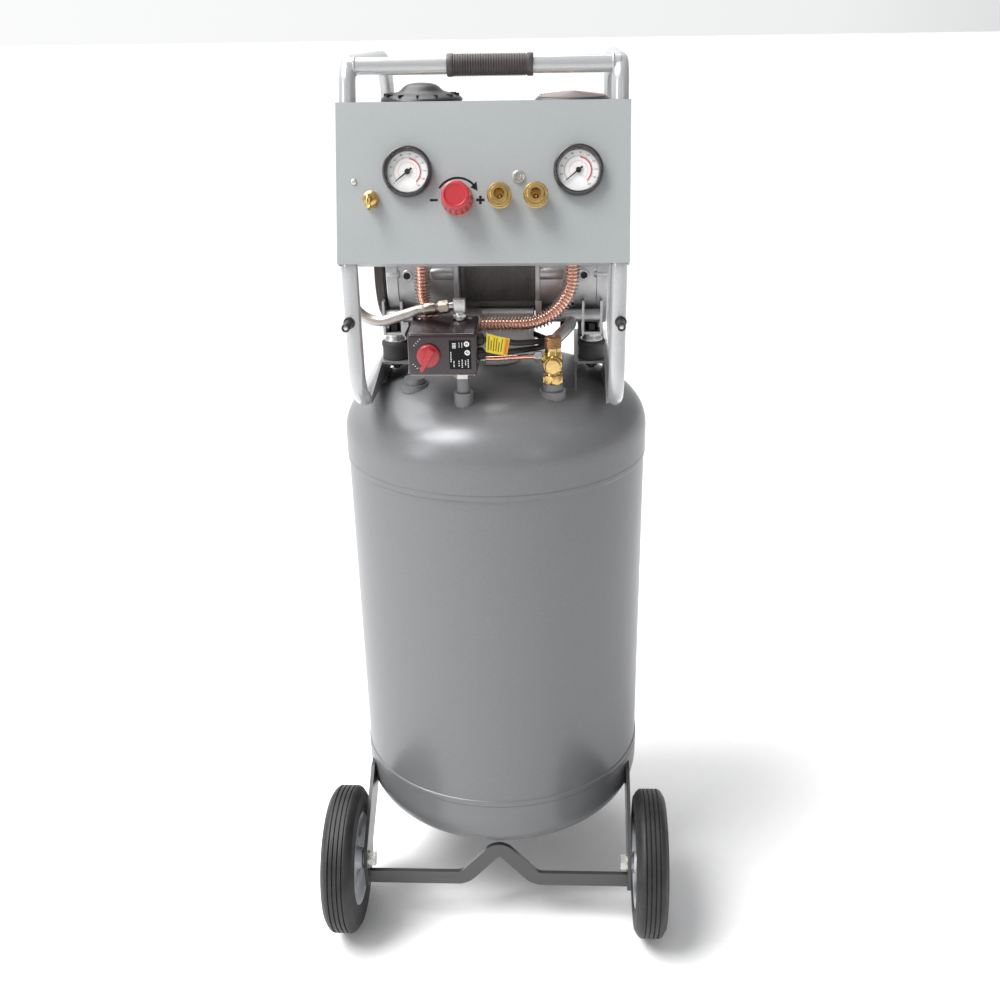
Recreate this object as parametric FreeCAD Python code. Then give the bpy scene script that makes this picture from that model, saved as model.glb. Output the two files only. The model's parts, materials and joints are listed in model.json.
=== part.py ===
import FreeCAD, Part
import math
import os

# Air compressor: upright tank on two wheels, with a twin-cylinder motor-pump under a tubular frame.
# Shapes are drawn about the tank's axis: +X right, +Y back, +Z up, floor at z = 0, in millimetres.
# save() then moves them along Y, so that the origin lies under the middle of the whole object.

# ---- tank
tank_radius = 200.0
tank_wall = 3.0
top_seam_z = 666.0
bottom_seam_z = 206.0
head_proud = 1.6          # how far a head stands out past the shell
head_flange = 27.0        # straight skirt of a head
head_dish = 89.0          # height of a head's dished part
dish_power = 2.24         # superellipse power of the dish
seam_bead_height = 9.0
tank_top_z = top_seam_z + head_flange + head_dish
tank_bottom_z = bottom_seam_z - head_flange - head_dish

# ---- frame
tube_radius = 9.5
tube_wall = 1.6
frame_x = 153.5           # distance of each loop's plane from the tank's axis
loop_bottom_z = 766.8
loop_top_z = 1146.0
loop_front_y = -171.0
loop_rear_y = 208.0
lean_deg = 19.7           # the upper front legs and the panel lean back by this
lean_start_z = 940.0
loop_bend = 52.0
lean_bend = 70.0
top_front_bend = 32.0
grip_radius = 12.3
grip_left_x = -41.0
grip_right_x = 56.0
peg_radius = 4.9
peg_length = 27.0
peg_z = 873.0

# ---- control panel; its own frame is x across, v up the slope from the bottom edge, n out of the face
panel_half_width = 165.0
panel_slope_height = 178.0
panel_depth = 18.0
panel_wall = 1.5
panel_front_y = loop_front_y - (tube_radius + panel_wall + 0.1) / math.cos(math.radians(lean_deg))
panel_bottom_z = 940.5
left_gauge = (-84.0, 101.0)
right_gauge = (107.0, 101.0)
safety_valve = (-125.0, 71.0)
regulator = (-28.0, 70.0)
left_coupler = (19.5, 72.0)
right_coupler = (60.0, 72.0)
flange_screw = (40.0, 95.0)
side_screw = (-145.0, 91.0)
bezel_radius = 28.0
dial_radius = 22.3
dial_n = 1.5
needle_rest_deg = 129.0   # from straight up, anticlockwise
bar_v = 71.0
bar_front_n = -30.0
bar_back_n = -50.0
bar_half = 10.0
running_gap = 0.05

# ---- pressure switch and its pipes
switch_left = -94.0
switch_right = -12.0
switch_front = -156.0
switch_back = -96.0
switch_bottom = 803.0
switch_top = 862.0
switch_front_top = 853.0   # its top slopes up to the back
cover_wall = 2.5
switch_knob_x = -69.0
switch_knob_z = 828.0
standpipe_x = -31.0
standpipe_y = -132.0
elbow_x = -35.0
elbow_y = -106.0
elbow_z = 876.5
hose_radius = 6.5
cable_radius = 3.6
check_valve_x = 78.0
check_valve_y = -104.0
fin_radius = 10.0

# ---- motor-pump, with its shaft along X
pump_x = 7.0
pump_y = 38.0
pump_z = 900.0
stator_half = 48.0
stator_radius = 62.0
crankcase_radius = 75.0
crankcase_end = 140.0
cylinder_reach = 93.5
shaft_radius = 8.0
crank_throw = 6.0
crank_radius = 15.0
piston_radius = 29.7
cylinder_bore = 30.0
mount_x = 127.0
mount_front_y = -25.0
mount_rear_y = 95.0
rail_top_z = 790.0
rail_wall = 3.0
foot_bottom_z = 813.0

# ---- wheels, bracket and feet
wheel_radius = 102.4
wheel_width = 45.0
wheel_inner_x = 191.6
axle_y = -185.2
axle_radius = 6.35
hub_radius = 64.5
bar_height = 21.0
bar_thickness = 6.5
bar_centre_z = 72.0
vee_centre_x = 3.0
vee_half_width = 51.0
vee_top_z = 128.0
leg_inner_x = 184.0
leg_outer_x = 189.0
foot_x = 90.0
foot_y = 150.0
foot_height = 18.0

wheel_front = axle_y - wheel_radius
frame_rear = loop_rear_y + tube_radius
origin_shift = -(wheel_front + frame_rear) / 2


def vec(x, y, z):
    return FreeCAD.Vector(x, y, z)


X = vec(1, 0, 0)
Y = vec(0, 1, 0)
Z = vec(0, 0, 1)


def save(name, *shapes):
    solids = [s for shape in shapes for s in shape.Solids]
    for solid in solids:
        if not solid.isValid():
            print("not valid:", name)
    group = Part.makeCompound(solids)
    group.translate(vec(0, origin_shift, 0))
    group.exportStep(os.path.join("parts", name + ".step"))
    print(f"{name}: {len(solids)} solid(s), {sum(s.Volume for s in solids) / 1000:.1f} cm3")


def rod(radius, start, end):
    return Part.makeCylinder(radius, (end - start).Length, start, end - start)


def ring(outer, inner, start, end):
    return rod(outer, start, end).cut(rod(inner, start, end))


def block(x0, x1, y0, y1, z0, z1):
    return Part.makeBox(x1 - x0, y1 - y0, z1 - z0, vec(x0, y0, z0))


def hexagon(flats, start, end):
    """A hexagonal prism from start to end, with the given width across its flats."""
    corner = flats / math.sqrt(3)
    points = [vec(corner * math.cos(a), corner * math.sin(a), 0)
              for a in [math.radians(60 * k) for k in range(7)]]
    prism = Part.Face(Part.makePolygon(points)).extrude(vec(0, 0, (end - start).Length))
    turn = FreeCAD.Rotation(Z, end - start)
    return prism.transformGeometry(FreeCAD.Placement(start, turn).toMatrix())


def turned(profile, base, axis):
    """Turns (radius, height) points about an axis through base into a solid."""
    points = [vec(r, 0, h) for r, h in profile]
    face = Part.Face(Part.makePolygon(points + [points[0]]))
    solid = face.revolve(vec(0, 0, 0), Z, 360)
    solid.Placement = FreeCAD.Placement(base, FreeCAD.Rotation(Z, axis))
    return solid


def rounded_wire(points, radii):
    """Straight runs joined by tangent arcs, with one radius for each inner point."""
    edges = []
    start = points[0]
    for i, radius in enumerate(radii, 1):
        back = (points[i - 1] - points[i]).normalize()
        onward = (points[i + 1] - points[i]).normalize()
        half = back.getAngle(onward) / 2
        first = points[i] + back * (radius / math.tan(half))
        last = points[i] + onward * (radius / math.tan(half))
        middle = points[i] + (back + onward).normalize() * (radius / math.sin(half) - radius)
        if (first - start).Length > 0.01:
            edges.append(Part.LineSegment(start, first).toShape())
        edges.append(Part.Arc(first, middle, last).toShape())
        start = last
    edges.append(Part.LineSegment(start, points[-1]).toShape())
    return Part.Wire(edges)


def piped(points, radii, radius):
    """A round bar along rounded_wire's path."""
    section = Part.Wire([Part.Circle(points[0], points[1] - points[0], radius).toShape()])
    return rounded_wire(points, radii).makePipeShell([section], True, False)


def mirrored(shape):
    return shape.mirror(vec(0, 0, 0), X)


# ---------------------------------------------------------------- tank

def dish_curve(radius, height, base_z, sign):
    """The quarter outline of a dished head, from its skirt to the axis."""
    power = 2 / dish_power
    steps = 12
    points = []
    for k in range(steps + 1):
        t = math.pi / 2 * k / steps
        r = radius * max(math.cos(t), 0.0) ** power
        points.append(vec(r if k < steps else 0, 0, base_z + sign * height * math.sin(t) ** power))
    curve = Part.BSplineCurve()
    curve.interpolate(Points=points, InitialTangent=vec(0, 0, sign), FinalTangent=vec(-1, 0, 0))
    return curve.toShape()


def head_outline(radius, dish, seam_z, sign):
    skirt_z = seam_z + sign * head_flange
    skirt = Part.makeLine(vec(radius, 0, seam_z), vec(radius, 0, skirt_z))
    return [skirt, dish_curve(radius, dish, skirt_z, sign)]


def head_envelope(seam_z, sign):
    """The whole space that a head holds, filled in."""
    outline = head_outline(tank_radius + head_proud, head_dish, seam_z, sign)
    tip = vec(0, 0, seam_z + sign * (head_flange + head_dish))
    outline.append(Part.makeLine(tip, vec(0, 0, seam_z)))
    outline.append(Part.makeLine(vec(0, 0, seam_z), vec(tank_radius + head_proud, 0, seam_z)))
    return Part.Face(Part.Wire(outline)).revolve(vec(0, 0, 0), Z, 360)


def head(seam_z, sign):
    outer = head_outline(tank_radius + head_proud, head_dish, seam_z, sign)
    inner = head_outline(tank_radius + head_proud - tank_wall, head_dish - tank_wall, seam_z, sign)
    tip = vec(0, 0, seam_z + sign * (head_flange + head_dish))
    inner_tip = tip - vec(0, 0, sign * tank_wall)
    foot = vec(tank_radius + head_proud - tank_wall, 0, seam_z)
    outline = outer + [Part.makeLine(tip, inner_tip)] + inner[::-1]
    outline.append(Part.makeLine(foot, vec(tank_radius + head_proud, 0, seam_z)))
    return Part.Face(Part.Wire(Part.__sortEdges__(outline))).revolve(vec(0, 0, 0), Z, 360)


top_envelope = head_envelope(top_seam_z, 1)
bottom_envelope = head_envelope(bottom_seam_z, -1)
tank_shell = ring(tank_radius, tank_radius - tank_wall, vec(0, 0, bottom_seam_z), vec(0, 0, top_seam_z))


def seam_bead(edge_z, sign):
    """The weld band that runs round the shell beside a head's edge."""
    far = edge_z - sign * seam_bead_height
    profile = [(tank_radius, edge_z), (tank_radius + 1.2, edge_z),
               (tank_radius + head_proud, edge_z - sign * 2),
               (tank_radius + head_proud, far + sign * 2), (tank_radius + 0.8, far + sign * 0.5),
               (tank_radius, far)]
    return turned(profile, vec(0, 0, 0), Z)


def boss(x, y, radius, top):
    """A steel spud welded on the top head."""
    return rod(radius, vec(x, y, tank_top_z - 60), vec(x, y, top)).cut(top_envelope)


def tank_parts():
    top = head(top_seam_z, 1)
    bottom = head(bottom_seam_z, -1)
    left_boss = boss(-98, -78, 13, 779)
    check_boss = boss(check_valve_x, check_valve_y, 12.5, 779)
    standpipe = boss(standpipe_x, standpipe_y, 8, switch_bottom - 8)
    drain_boss = rod(12, vec(0, 0, tank_bottom_z - 10), vec(0, 0, tank_bottom_z + 20)).cut(bottom_envelope)
    save("tank_shell", tank_shell)
    save("top_head", top)
    save("bottom_head", bottom)
    save("tank_bosses", left_boss, check_boss, standpipe, drain_boss)
    bases = [boss(check_valve_x, check_valve_y, 16.5, 770).cut(check_boss),
             boss(standpipe_x, standpipe_y, 12, 776).cut(standpipe),
             boss(-98, -78, 17, 771).cut(left_boss)]
    frame_tubes = loop(1)
    pad = rod(13.5, vec(frame_x, -24, loop_bottom_z), vec(frame_x, 24, loop_bottom_z))
    pad = pad.common(block(100, 200, -30, 30, 700, loop_bottom_z - 4)).cut(frame_tubes).cut(top_envelope)
    pads = [s for s in pad.Solids if s.Volume > 100]
    welds = [seam_bead(top_seam_z, 1), seam_bead(bottom_seam_z, -1)]
    save("weld_beads", *welds, *bases, *pads, *[mirrored(p) for p in pads])


# ---------------------------------------------------------------- frame

def loop_points():
    """The loop's corners in the YZ plane, in two halves that meet at its middle."""
    lean = math.tan(math.radians(lean_deg))
    top_front_y = loop_front_y + (loop_top_z - lean_start_z) * lean
    middle_y = 20.0
    front = [(middle_y, loop_bottom_z), (loop_front_y, loop_bottom_z), (loop_front_y, lean_start_z),
             (top_front_y, loop_top_z), (middle_y, loop_top_z)]
    rear = [(middle_y, loop_bottom_z), (loop_rear_y, loop_bottom_z), (loop_rear_y, loop_top_z),
            (middle_y, loop_top_z)]
    return front, rear


def loop(side, radius=tube_radius):
    front, rear = loop_points()
    front = [vec(side * frame_x, y, z) for y, z in front]
    rear = [vec(side * frame_x, y, z) for y, z in rear]
    halves = [piped(front, [loop_bend, lean_bend, top_front_bend], radius),
              piped(rear, [loop_bend, loop_bend], radius)]
    return halves[0].fuse(halves[1])


def handle_y():
    """Where the handle bar meets the loops, at the top front bend."""
    front, _ = loop_points()
    return front[3][0] + 5.0


def frame_parts():
    outer = {side: loop(side) for side in (-1, 1)}
    for side, name in ((-1, "left_frame_loop"), (1, "right_frame_loop")):
        vent = rod(2, vec(side * frame_x, 60, loop_bottom_z - 20), vec(side * frame_x, 60, loop_bottom_z))
        save(name, outer[side].cut(loop(side, tube_radius - tube_wall)).cut(vent))
    y = handle_y()
    z = loop_top_z - 2.0
    bar = ring(tube_radius, tube_radius - tube_wall, vec(-frame_x, y, z), vec(frame_x, y, z))
    bar = bar.cut(outer[-1]).cut(outer[1])
    save("handle_bar", max(bar.Solids, key=lambda s: s.Volume))
    grip = ring(grip_radius, tube_radius, vec(grip_left_x, y, z), vec(grip_right_x, y, z))
    save("handle_grip", grip)
    pegs = []
    for side in (-1, 1):
        start = vec(side * (frame_x + 3), loop_front_y, peg_z)
        end = vec(side * (frame_x + 3), loop_front_y - tube_radius - peg_length, peg_z)
        pegs.append(rod(peg_radius, start, end).cut(outer[side]))
    save("frame_pegs", *[max(p.Solids, key=lambda s: -s.CenterOfMass.y) for p in pegs])


# ---------------------------------------------------------------- control panel

panel_turn = FreeCAD.Rotation(X, 90 - lean_deg)
panel_place = FreeCAD.Placement(vec(0, panel_front_y, panel_bottom_z), panel_turn)


def on_panel(shape):
    """Moves a shape drawn in the panel's frame (x, v, n) to its place."""
    shape = shape.copy()
    shape.Placement = panel_place.multiply(shape.Placement)
    return shape


def at(spot, n):
    return vec(spot[0], spot[1], n)


def panel():
    half = panel_half_width
    high = panel_slope_height
    tray = block(-half, half, 0, high, -panel_depth, 0)
    inside = block(-half + panel_wall, half - panel_wall, panel_wall, high - panel_wall,
                   -panel_depth - 1, -panel_wall)
    tray = tray.cut(inside)
    holes = [(left_gauge, 25.0), (right_gauge, 25.0), (safety_valve, 6.5), (regulator, 9.5),
             (left_coupler, 10.0), (right_coupler, 10.0), (flange_screw, 2.5), (side_screw, 2.0)]
    for spot, radius in holes:
        tray = tray.cut(rod(radius, at(spot, -panel_wall - 1), at(spot, 1)))
    clear = []
    for side in (-1, 1):
        clear.append(block(side * frame_x - tube_radius - 0.5, side * frame_x + tube_radius + 0.5,
                           -1, high + 1, -panel_depth - 1, -panel_wall))
    return tray.cut(clear[0]).cut(clear[1])


def gauge_case(spot):
    profile = [(0, -24), (25, -24), (25, 0), (bezel_radius, 0), (bezel_radius, 9), (26.5, 11), (24, 11),
               (24, 8), (22.5, 8), (22.5, -22), (0, -22)]
    return turned(profile, at(spot, 0), Z)


def gauge_dial(spot):
    disc = rod(dial_radius, at(spot, dial_n), at(spot, dial_n + 0.8))
    post = ring(4, 1.5, at(spot, -22), at(spot, dial_n))
    return disc.cut(rod(1.5, at(spot, 0), at(spot, 5))).fuse(post)


def gauge_lens(spot):
    profile = [(0, 8), (24, 8), (24, 9.2), (14, 9.9), (0, 10.2)]
    return turned(profile, at(spot, 0), Z)


def gauge_needle(spot):
    """The needle points to the lower left, at zero, with a short tail."""
    hub = rod(3, vec(0, 0, dial_n + 1.6), vec(0, 0, dial_n + 3.6))
    staff = rod(1.5 - running_gap, vec(0, 0, -8), vec(0, 0, dial_n + 2))
    points = [vec(-1.1, -6, 0), vec(1.1, -6, 0), vec(0.4, 17.5, 0), vec(-0.4, 17.5, 0), vec(-1.1, -6, 0)]
    hand = Part.Face(Part.makePolygon(points)).extrude(vec(0, 0, 0.7))
    hand.translate(vec(0, 0, dial_n + 2.2))
    needle = hub.fuse(staff).fuse(hand)
    needle.rotate(vec(0, 0, 0), Z, needle_rest_deg)
    needle.translate(at(spot, 0))
    return needle


def coupler_body(spot):
    profile = [(0, bar_front_n), (12, bar_front_n), (12, -3), (10, -3), (10, 22), (9.2, 24), (6, 24),
               (6, 2), (3, 2), (3, bar_front_n + 4), (0, bar_front_n + 4)]
    return turned(profile, at(spot, 0), Z)


def coupler_sleeve(spot):
    bore = 10 + running_gap
    profile = [(bore, 7), (12.6, 7), (13.5, 8), (13.5, 12), (12.4, 13), (12.4, 15), (13.5, 16), (13.5, 20),
               (12.6, 21.5), (bore, 21.5)]
    return turned(profile, at(spot, 0), Z)


def regulator_body(spot):
    profile = [(0, -62), (17, -62), (17, -6), (12, -3), (9.5, -3), (9.5, 0), (13, 0), (13, 4), (7, 4),
               (7, 14), (0, 14)]
    return turned(profile, at(spot, 0), Z)


def regulator_knob(spot):
    bore = 7 + running_gap
    profile = [(bore, 5), (17.5, 5), (18, 6), (18, 10), (16.5, 11), (15.8, 28), (14, 31), (6, 32), (0, 32),
               (0, 14.5), (bore, 14.5)]
    body = turned(profile, at(spot, 0), Z)
    for k in range(12):
        a = math.radians(30 * k)
        flute = rod(2, vec(17.6 * math.cos(a), 17.6 * math.sin(a), 12),
                    vec(17.2 * math.cos(a), 17.2 * math.sin(a), 33))
        flute.translate(at(spot, 0))
        body = body.cut(flute)
    return body


def safety_body(spot):
    profile = [(2 + running_gap, 12), (5, 12), (8, 10), (8, 5), (6, 5), (6, bar_front_n),
               (2 + running_gap, bar_front_n)]
    body = turned(profile, at(spot, 0), Z)
    return body.fuse(hexagon(17, at(spot, 0.2), at(spot, 5)).cut(rod(3, at(spot, -1), at(spot, 6))))


def safety_ring(spot):
    pin = rod(2, vec(0, 0, -20), vec(0, 0, 23))
    pull = Part.makeTorus(8, 1.1, vec(0, -7, 22.5), X)
    shape = pin.fuse(pull)
    shape.translate(at(spot, 0))
    return shape


def manifold():
    """Brass bars behind the panel: the tank side on the left, the regulated side on the right."""
    low = bar_v - bar_half
    high = bar_v + bar_half
    body = regulator_body(regulator)
    sides = []
    for x0, x1, gauge in ((-137, regulator[0] - 10, left_gauge), (regulator[0] + 10, 117, right_gauge)):
        bar = block(x0, x1, low, high, bar_back_n, bar_front_n)
        branch = block(gauge[0] - 8, gauge[0] + 8, high, gauge[1] + 8, bar_back_n, bar_front_n)
        stem = rod(5.5, at(gauge, bar_front_n), at(gauge, -24))
        sides.append(bar.fuse(branch).fuse(stem).cut(body))
    sides[0] = sides[0].cut(rod(2.5, at(safety_valve, bar_front_n - 12), at(safety_valve, bar_front_n)))
    return sides


def panel_parts():
    save("control_panel", on_panel(panel()))
    big = rod(6, at(flange_screw, 0), at(flange_screw, 1.2))
    big = big.fuse(rod(4.4, at(flange_screw, 1.2), at(flange_screw, 4)))
    big = big.fuse(rod(2.5, at(flange_screw, bar_front_n + 14), at(flange_screw, 1)))
    small = rod(3.4, at(side_screw, 0), at(side_screw, 2)).fuse(rod(2, at(side_screw, -6), at(side_screw, 1)))
    save("panel_screws", on_panel(big), on_panel(small).cut(loop(-1)))
    gauges = (("left_gauge_needle", left_gauge), ("right_gauge_needle", right_gauge))
    save("gauge_cases", *[on_panel(gauge_case(spot)) for _, spot in gauges])
    save("gauge_dials", *[on_panel(gauge_dial(spot)) for _, spot in gauges])
    save("gauge_lenses", *[on_panel(gauge_lens(spot)) for _, spot in gauges])
    for name, spot in gauges:
        save(name, on_panel(gauge_needle(spot)))
    couplers = (("left_coupler_sleeve", left_coupler), ("right_coupler_sleeve", right_coupler))
    save("coupler_bodies", *[on_panel(coupler_body(spot)) for _, spot in couplers])
    for name, spot in couplers:
        save(name, on_panel(coupler_sleeve(spot)))
    save("regulator_body", on_panel(regulator_body(regulator)))
    save("regulator_knob", on_panel(regulator_knob(regulator)))
    save("safety_valve_body", on_panel(safety_body(safety_valve)))
    save("safety_valve_ring", on_panel(safety_ring(safety_valve)))
    save("outlet_manifold", *[on_panel(side) for side in manifold()])


# ---------------------------------------------------------------- pressure switch and its pipes

elbow = vec(elbow_x, elbow_y, elbow_z)
elbow_way = vec(-49, 4, -7).normalize()
switch_contacts_top = 845.0
elbow_block = 15.0
stem_radius = 7.0
unloader_stub = 4.5
unloader_y = -110.0
unloader_z = 811.5
lead_exits = ((-124.0, 839.0), (-126.0, 822.0))
hose_end = (-121.0, bar_v + bar_half, (bar_front_n + bar_back_n) / 2)


def sloping_box(x0, x1, y0, y1, drop, radius):
    """A rounded box whose top slopes up to the back, drop below the cover's own top."""
    outline = [(y0, switch_bottom), (y1, switch_bottom), (y1, switch_top - drop),
               (y0, switch_front_top - drop)]
    points = [vec(x0, y, z) for y, z in outline]
    body = Part.Face(Part.makePolygon(points + [points[0]])).extrude(vec(x1 - x0, 0, 0))
    edges = [e for e in body.Edges if e.CenterOfMass.z > switch_bottom + 0.1]
    return body.makeFillet(radius, edges)


def switch_parts():
    block_gap = 10.0
    inner = (switch_left + cover_wall, switch_right - cover_wall, switch_front + cover_wall,
             switch_back - cover_wall)
    outer = sloping_box(switch_left, switch_right, switch_front, switch_back, 0, 5)
    inside = sloping_box(*inner, cover_wall, 3)
    inside = inside.fuse(block(*inner, switch_bottom - 1, switch_bottom + 3))
    cover = outer.cut(inside)
    contacts = block(switch_left + block_gap, switch_right - block_gap, switch_front + block_gap,
                     switch_back - block_gap + 4, switch_bottom + 3, switch_contacts_top)
    base = block(*inner, switch_bottom, switch_bottom + 3).fuse(contacts)
    base = base.fuse(hexagon(22, vec(standpipe_x, standpipe_y, switch_bottom - 8),
                             vec(standpipe_x, standpipe_y, switch_bottom)))
    knob_axis = vec(switch_knob_x, 0, switch_knob_z)
    cover = cover.cut(rod(4 + running_gap, knob_axis + Y * (switch_front - 1), knob_axis + Y * -150))
    stem_foot = vec(elbow_x, elbow_y, switch_contacts_top)
    cover = cover.cut(rod(stem_radius, stem_foot + Z * 5, vec(elbow_x, elbow_y, switch_top + 1)))
    for y, z in lead_exits:
        cover = cover.cut(rod(5.5, vec(switch_right - 5, y, z), vec(switch_right + 1, y, z)))
    unloader = vec(switch_right, unloader_y, unloader_z)
    cover = cover.cut(rod(unloader_stub, unloader - X * block_gap, unloader + X * 8))
    save("switch_cover", cover)
    save("switch_base", base)
    knob_foot = knob_axis + Y * switch_front
    knob = rod(13.5, knob_foot - Y * 1, knob_foot - Y * 6)
    knob = knob.fuse(rod(12.2, knob_foot - Y * 6, knob_foot - Y * 8))
    knob = knob.fuse(rod(4, knob_foot - Y * 2, knob_foot + Y * (block_gap - 0.5)))
    bar = block(-3.2, 3.2, switch_front - 16, switch_front - 7, -20, 12)
    bar.rotate(vec(0, 0, 0), Y, 30)
    bar.translate(knob_axis)
    save("switch_knob", knob.fuse(bar))
    glands = []
    for y, z in lead_exits:
        gland = rod(5.5, vec(switch_right - cover_wall, y, z), vec(switch_right, y, z))
        gland = gland.fuse(rod(7.5, vec(switch_right, y, z), vec(switch_right + 7, y, z)))
        glands.append(gland.cut(rod(cable_radius, vec(switch_right - 9, y, z), vec(switch_right + 9, y, z))))
    save("cable_glands", *glands)


def hose_parts():
    half = elbow_block / 2
    stem = rod(stem_radius, vec(elbow_x, elbow_y, switch_contacts_top), elbow)
    corner = block(elbow_x - half, elbow_x + half, elbow_y - half, elbow_y + half,
                   elbow_z - half, elbow_z + half)
    nut = hexagon(14.5, elbow + elbow_way * 13, elbow + elbow_way * 25)
    first = stem.fuse(corner).fuse(rod(5.5, elbow, elbow + elbow_way * 14)).fuse(nut)
    hose_start = elbow + elbow_way * 44
    ferrule = rod(8, elbow + elbow_way * 25, hose_start)
    top = panel_place.multVec(vec(*hose_end))
    upright = vec(top.x, top.y, top.z + 8)
    tail = [hexagon(16, top, upright), rod(8, upright, upright + Z * 16)]
    tail[0] = tail[0].cut(on_panel(manifold()[0]))
    save("hose_fittings", first, ferrule, *tail)
    hose_top = upright.z + 50
    points = [hose_start, hose_start + elbow_way * 8, vec(-142, -99.5, 851.5), vec(-168, -97, 874),
              vec(-166, -88, 945), vec(-158, -62, hose_top), vec(top.x, top.y, hose_top), upright + Z * 16]
    save("braided_hose", piped(points, [40, 36, 29, 90, 30, 30], hose_radius))


left_port_x = -86.0
right_port_x = 101.0
joiner_port_x = 72.0
port_y = pump_y - 58
head_port_z = 1056.0
collector_left = -32.0
collector_right = -12.0
back_run_y = -52.0
back_run_z = 841.0


def pipe_parts():
    cv = vec(check_valve_x, check_valve_y, 0)
    body = hexagon(25, cv + Z * 779, cv + Z * 789).fuse(rod(11, cv + Z * 789, cv + Z * 823))
    plug_z = 805.0
    body = body.fuse(hexagon(23, cv + vec(0, -24, plug_z), cv + vec(0, -8, plug_z)))
    port = cv + vec(-13, 0, plug_z + 7)
    body = body.fuse(rod(6.5, cv + Z * plug_z, port))
    collar = rod(10.5, cv + Z * 823, cv + Z * 837)
    port_end = port + vec(-9, 0, 0)
    save("check_valve", body.cut(hexagon(13, port_end, port)), collar)
    valve_nut = hexagon(13, port_end, port)
    unloader_in = vec(switch_right - 10, unloader_y, unloader_z)
    unloader_out = vec(switch_right + 8, unloader_y, unloader_z)
    unloader = rod(unloader_stub, unloader_in, unloader_out)
    unloader = unloader.fuse(hexagon(12, unloader_out - X * 7, unloader_out))
    collector = block(collector_left, collector_right, -92, -40, 828, 858)
    heads = []
    for x in (left_port_x, right_port_x, joiner_port_x):
        heads.append(hexagon(18, vec(x, pump_y - 48, head_port_z), vec(x, port_y, head_port_z)))
    save("tube_fittings", valve_nut, unloader, collector, *heads)
    bends = [unloader_out + X * 12, port_end - X * 12]
    save("unloader_tube", piped([unloader_out, *bends, port_end], [30, 30], 3))
    discharge = [cv + Z * 830, vec(99, -50, 838), vec(101, -12, 842)]
    body_front = rod(crankcase_radius, vec(60, pump_y, pump_z), vec(140, pump_y, pump_z))
    bar_space = rod(8, vec(60, mount_front_y - 6, 846), vec(140, mount_front_y - 6, 846))
    pipe = piped(discharge, [40], 7.5).cut(body_front).cut(bar_space).cut(collar).cut(body)
    save("discharge_pipe", max(pipe.Solids, key=lambda s: s.Volume))
    right = [vec(right_port_x, port_y, head_port_z), vec(right_port_x, -79, head_port_z),
             vec(right_port_x, -79, 846), vec(collector_right, -79, 846)]
    left = [vec(left_port_x, port_y, head_port_z), vec(left_port_x, back_run_y, head_port_z),
            vec(left_port_x, back_run_y, back_run_z), vec(collector_left, back_run_y, back_run_z)]
    joiner = [vec(collector_right, back_run_y, back_run_z), vec(right_port_x, back_run_y, back_run_z),
              vec(right_port_x, back_run_y, 1002), vec(joiner_port_x, back_run_y, 1026),
              vec(joiner_port_x, back_run_y, head_port_z), vec(joiner_port_x, port_y, head_port_z)]
    save("finned_tubes", piped(left, [22, 40], fin_radius), piped(right, [30, 62], fin_radius),
         piped(joiner, [62, 20, 20, 16], fin_radius))


def lead_parts():
    start_x = switch_right - 10
    upper_y, upper_z = lead_exits[0]
    lower_y, lower_z = lead_exits[1]
    upper = [vec(start_x, upper_y, upper_z), vec(5, upper_y, upper_z), vec(34, -112, 831), vec(62, -92, 828),
             vec(84, -66, 823), vec(88, -36, 822), vec(90, -14, 826), vec(90, -8, 852)]
    lower = [vec(start_x, lower_y, lower_z), vec(5, lower_y, lower_z), vec(34, -110, 821), vec(58, -86, 818),
             vec(70, -60, 815), vec(70, -34, 816), vec(50, -18, 820)]
    upper_tube = piped(upper, [30, 50, 50, 50, 30, 12], cable_radius)
    lower_tube = piped(lower, [30, 50, 50, 50, 12], cable_radius)
    case = rod(crankcase_radius, vec(60, pump_y, pump_z), vec(140, pump_y, pump_z))
    save("motor_leads", upper_tube.cut(case), lower_tube.cut(terminal_box()))


# ---------------------------------------------------------------- motor and pump

cylinder_top_z = 1044.0
head_top_z = 1070.0
neck_z = 986.0
lug_plate_z = 826.0
fan_radius = 68.0


def along(x):
    return vec(pump_x + x, pump_y, pump_z)


def cylinder_x(side):
    return pump_x + side * cylinder_reach


def lug(side, y, back):
    """A cast foot: a cup on the rubber mount, a fork round the bolt's head and a round bar beside it."""
    x = side * mount_x
    cup = turned([(4, foot_bottom_z), (13, foot_bottom_z), (13, foot_bottom_z + 3), (11, foot_bottom_z + 9),
                  (11, lug_plate_z), (4, lug_plate_z)], vec(x, y, 0), Z)
    near = y - back * 14
    far = y + back * 34
    y0 = min(near, far)
    y1 = max(near, far)
    plate = block(x - 13, x + 13, y - 12, y + 12, lug_plate_z - 3, lug_plate_z)
    plate = plate.cut(rod(4, vec(x, y, lug_plate_z - 5), vec(x, y, lug_plate_z + 1)))
    forks = [block(fork_x, fork_x + 3, y0, y1, lug_plate_z - 3, 866) for fork_x in (x - 13, x + 10)]
    bar = rod(8, vec(pump_x + side * stator_half, y - back * 6, 846), vec(x + side * 13, y - back * 6, 846))
    root = pump_x + side * (stator_half + 4)
    inner = block(root - 4, root + 4, y0, y1, 838, 866)
    return cup.fuse(plate).fuse(forks[0]).fuse(forks[1]).fuse(bar).fuse(inner)


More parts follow.
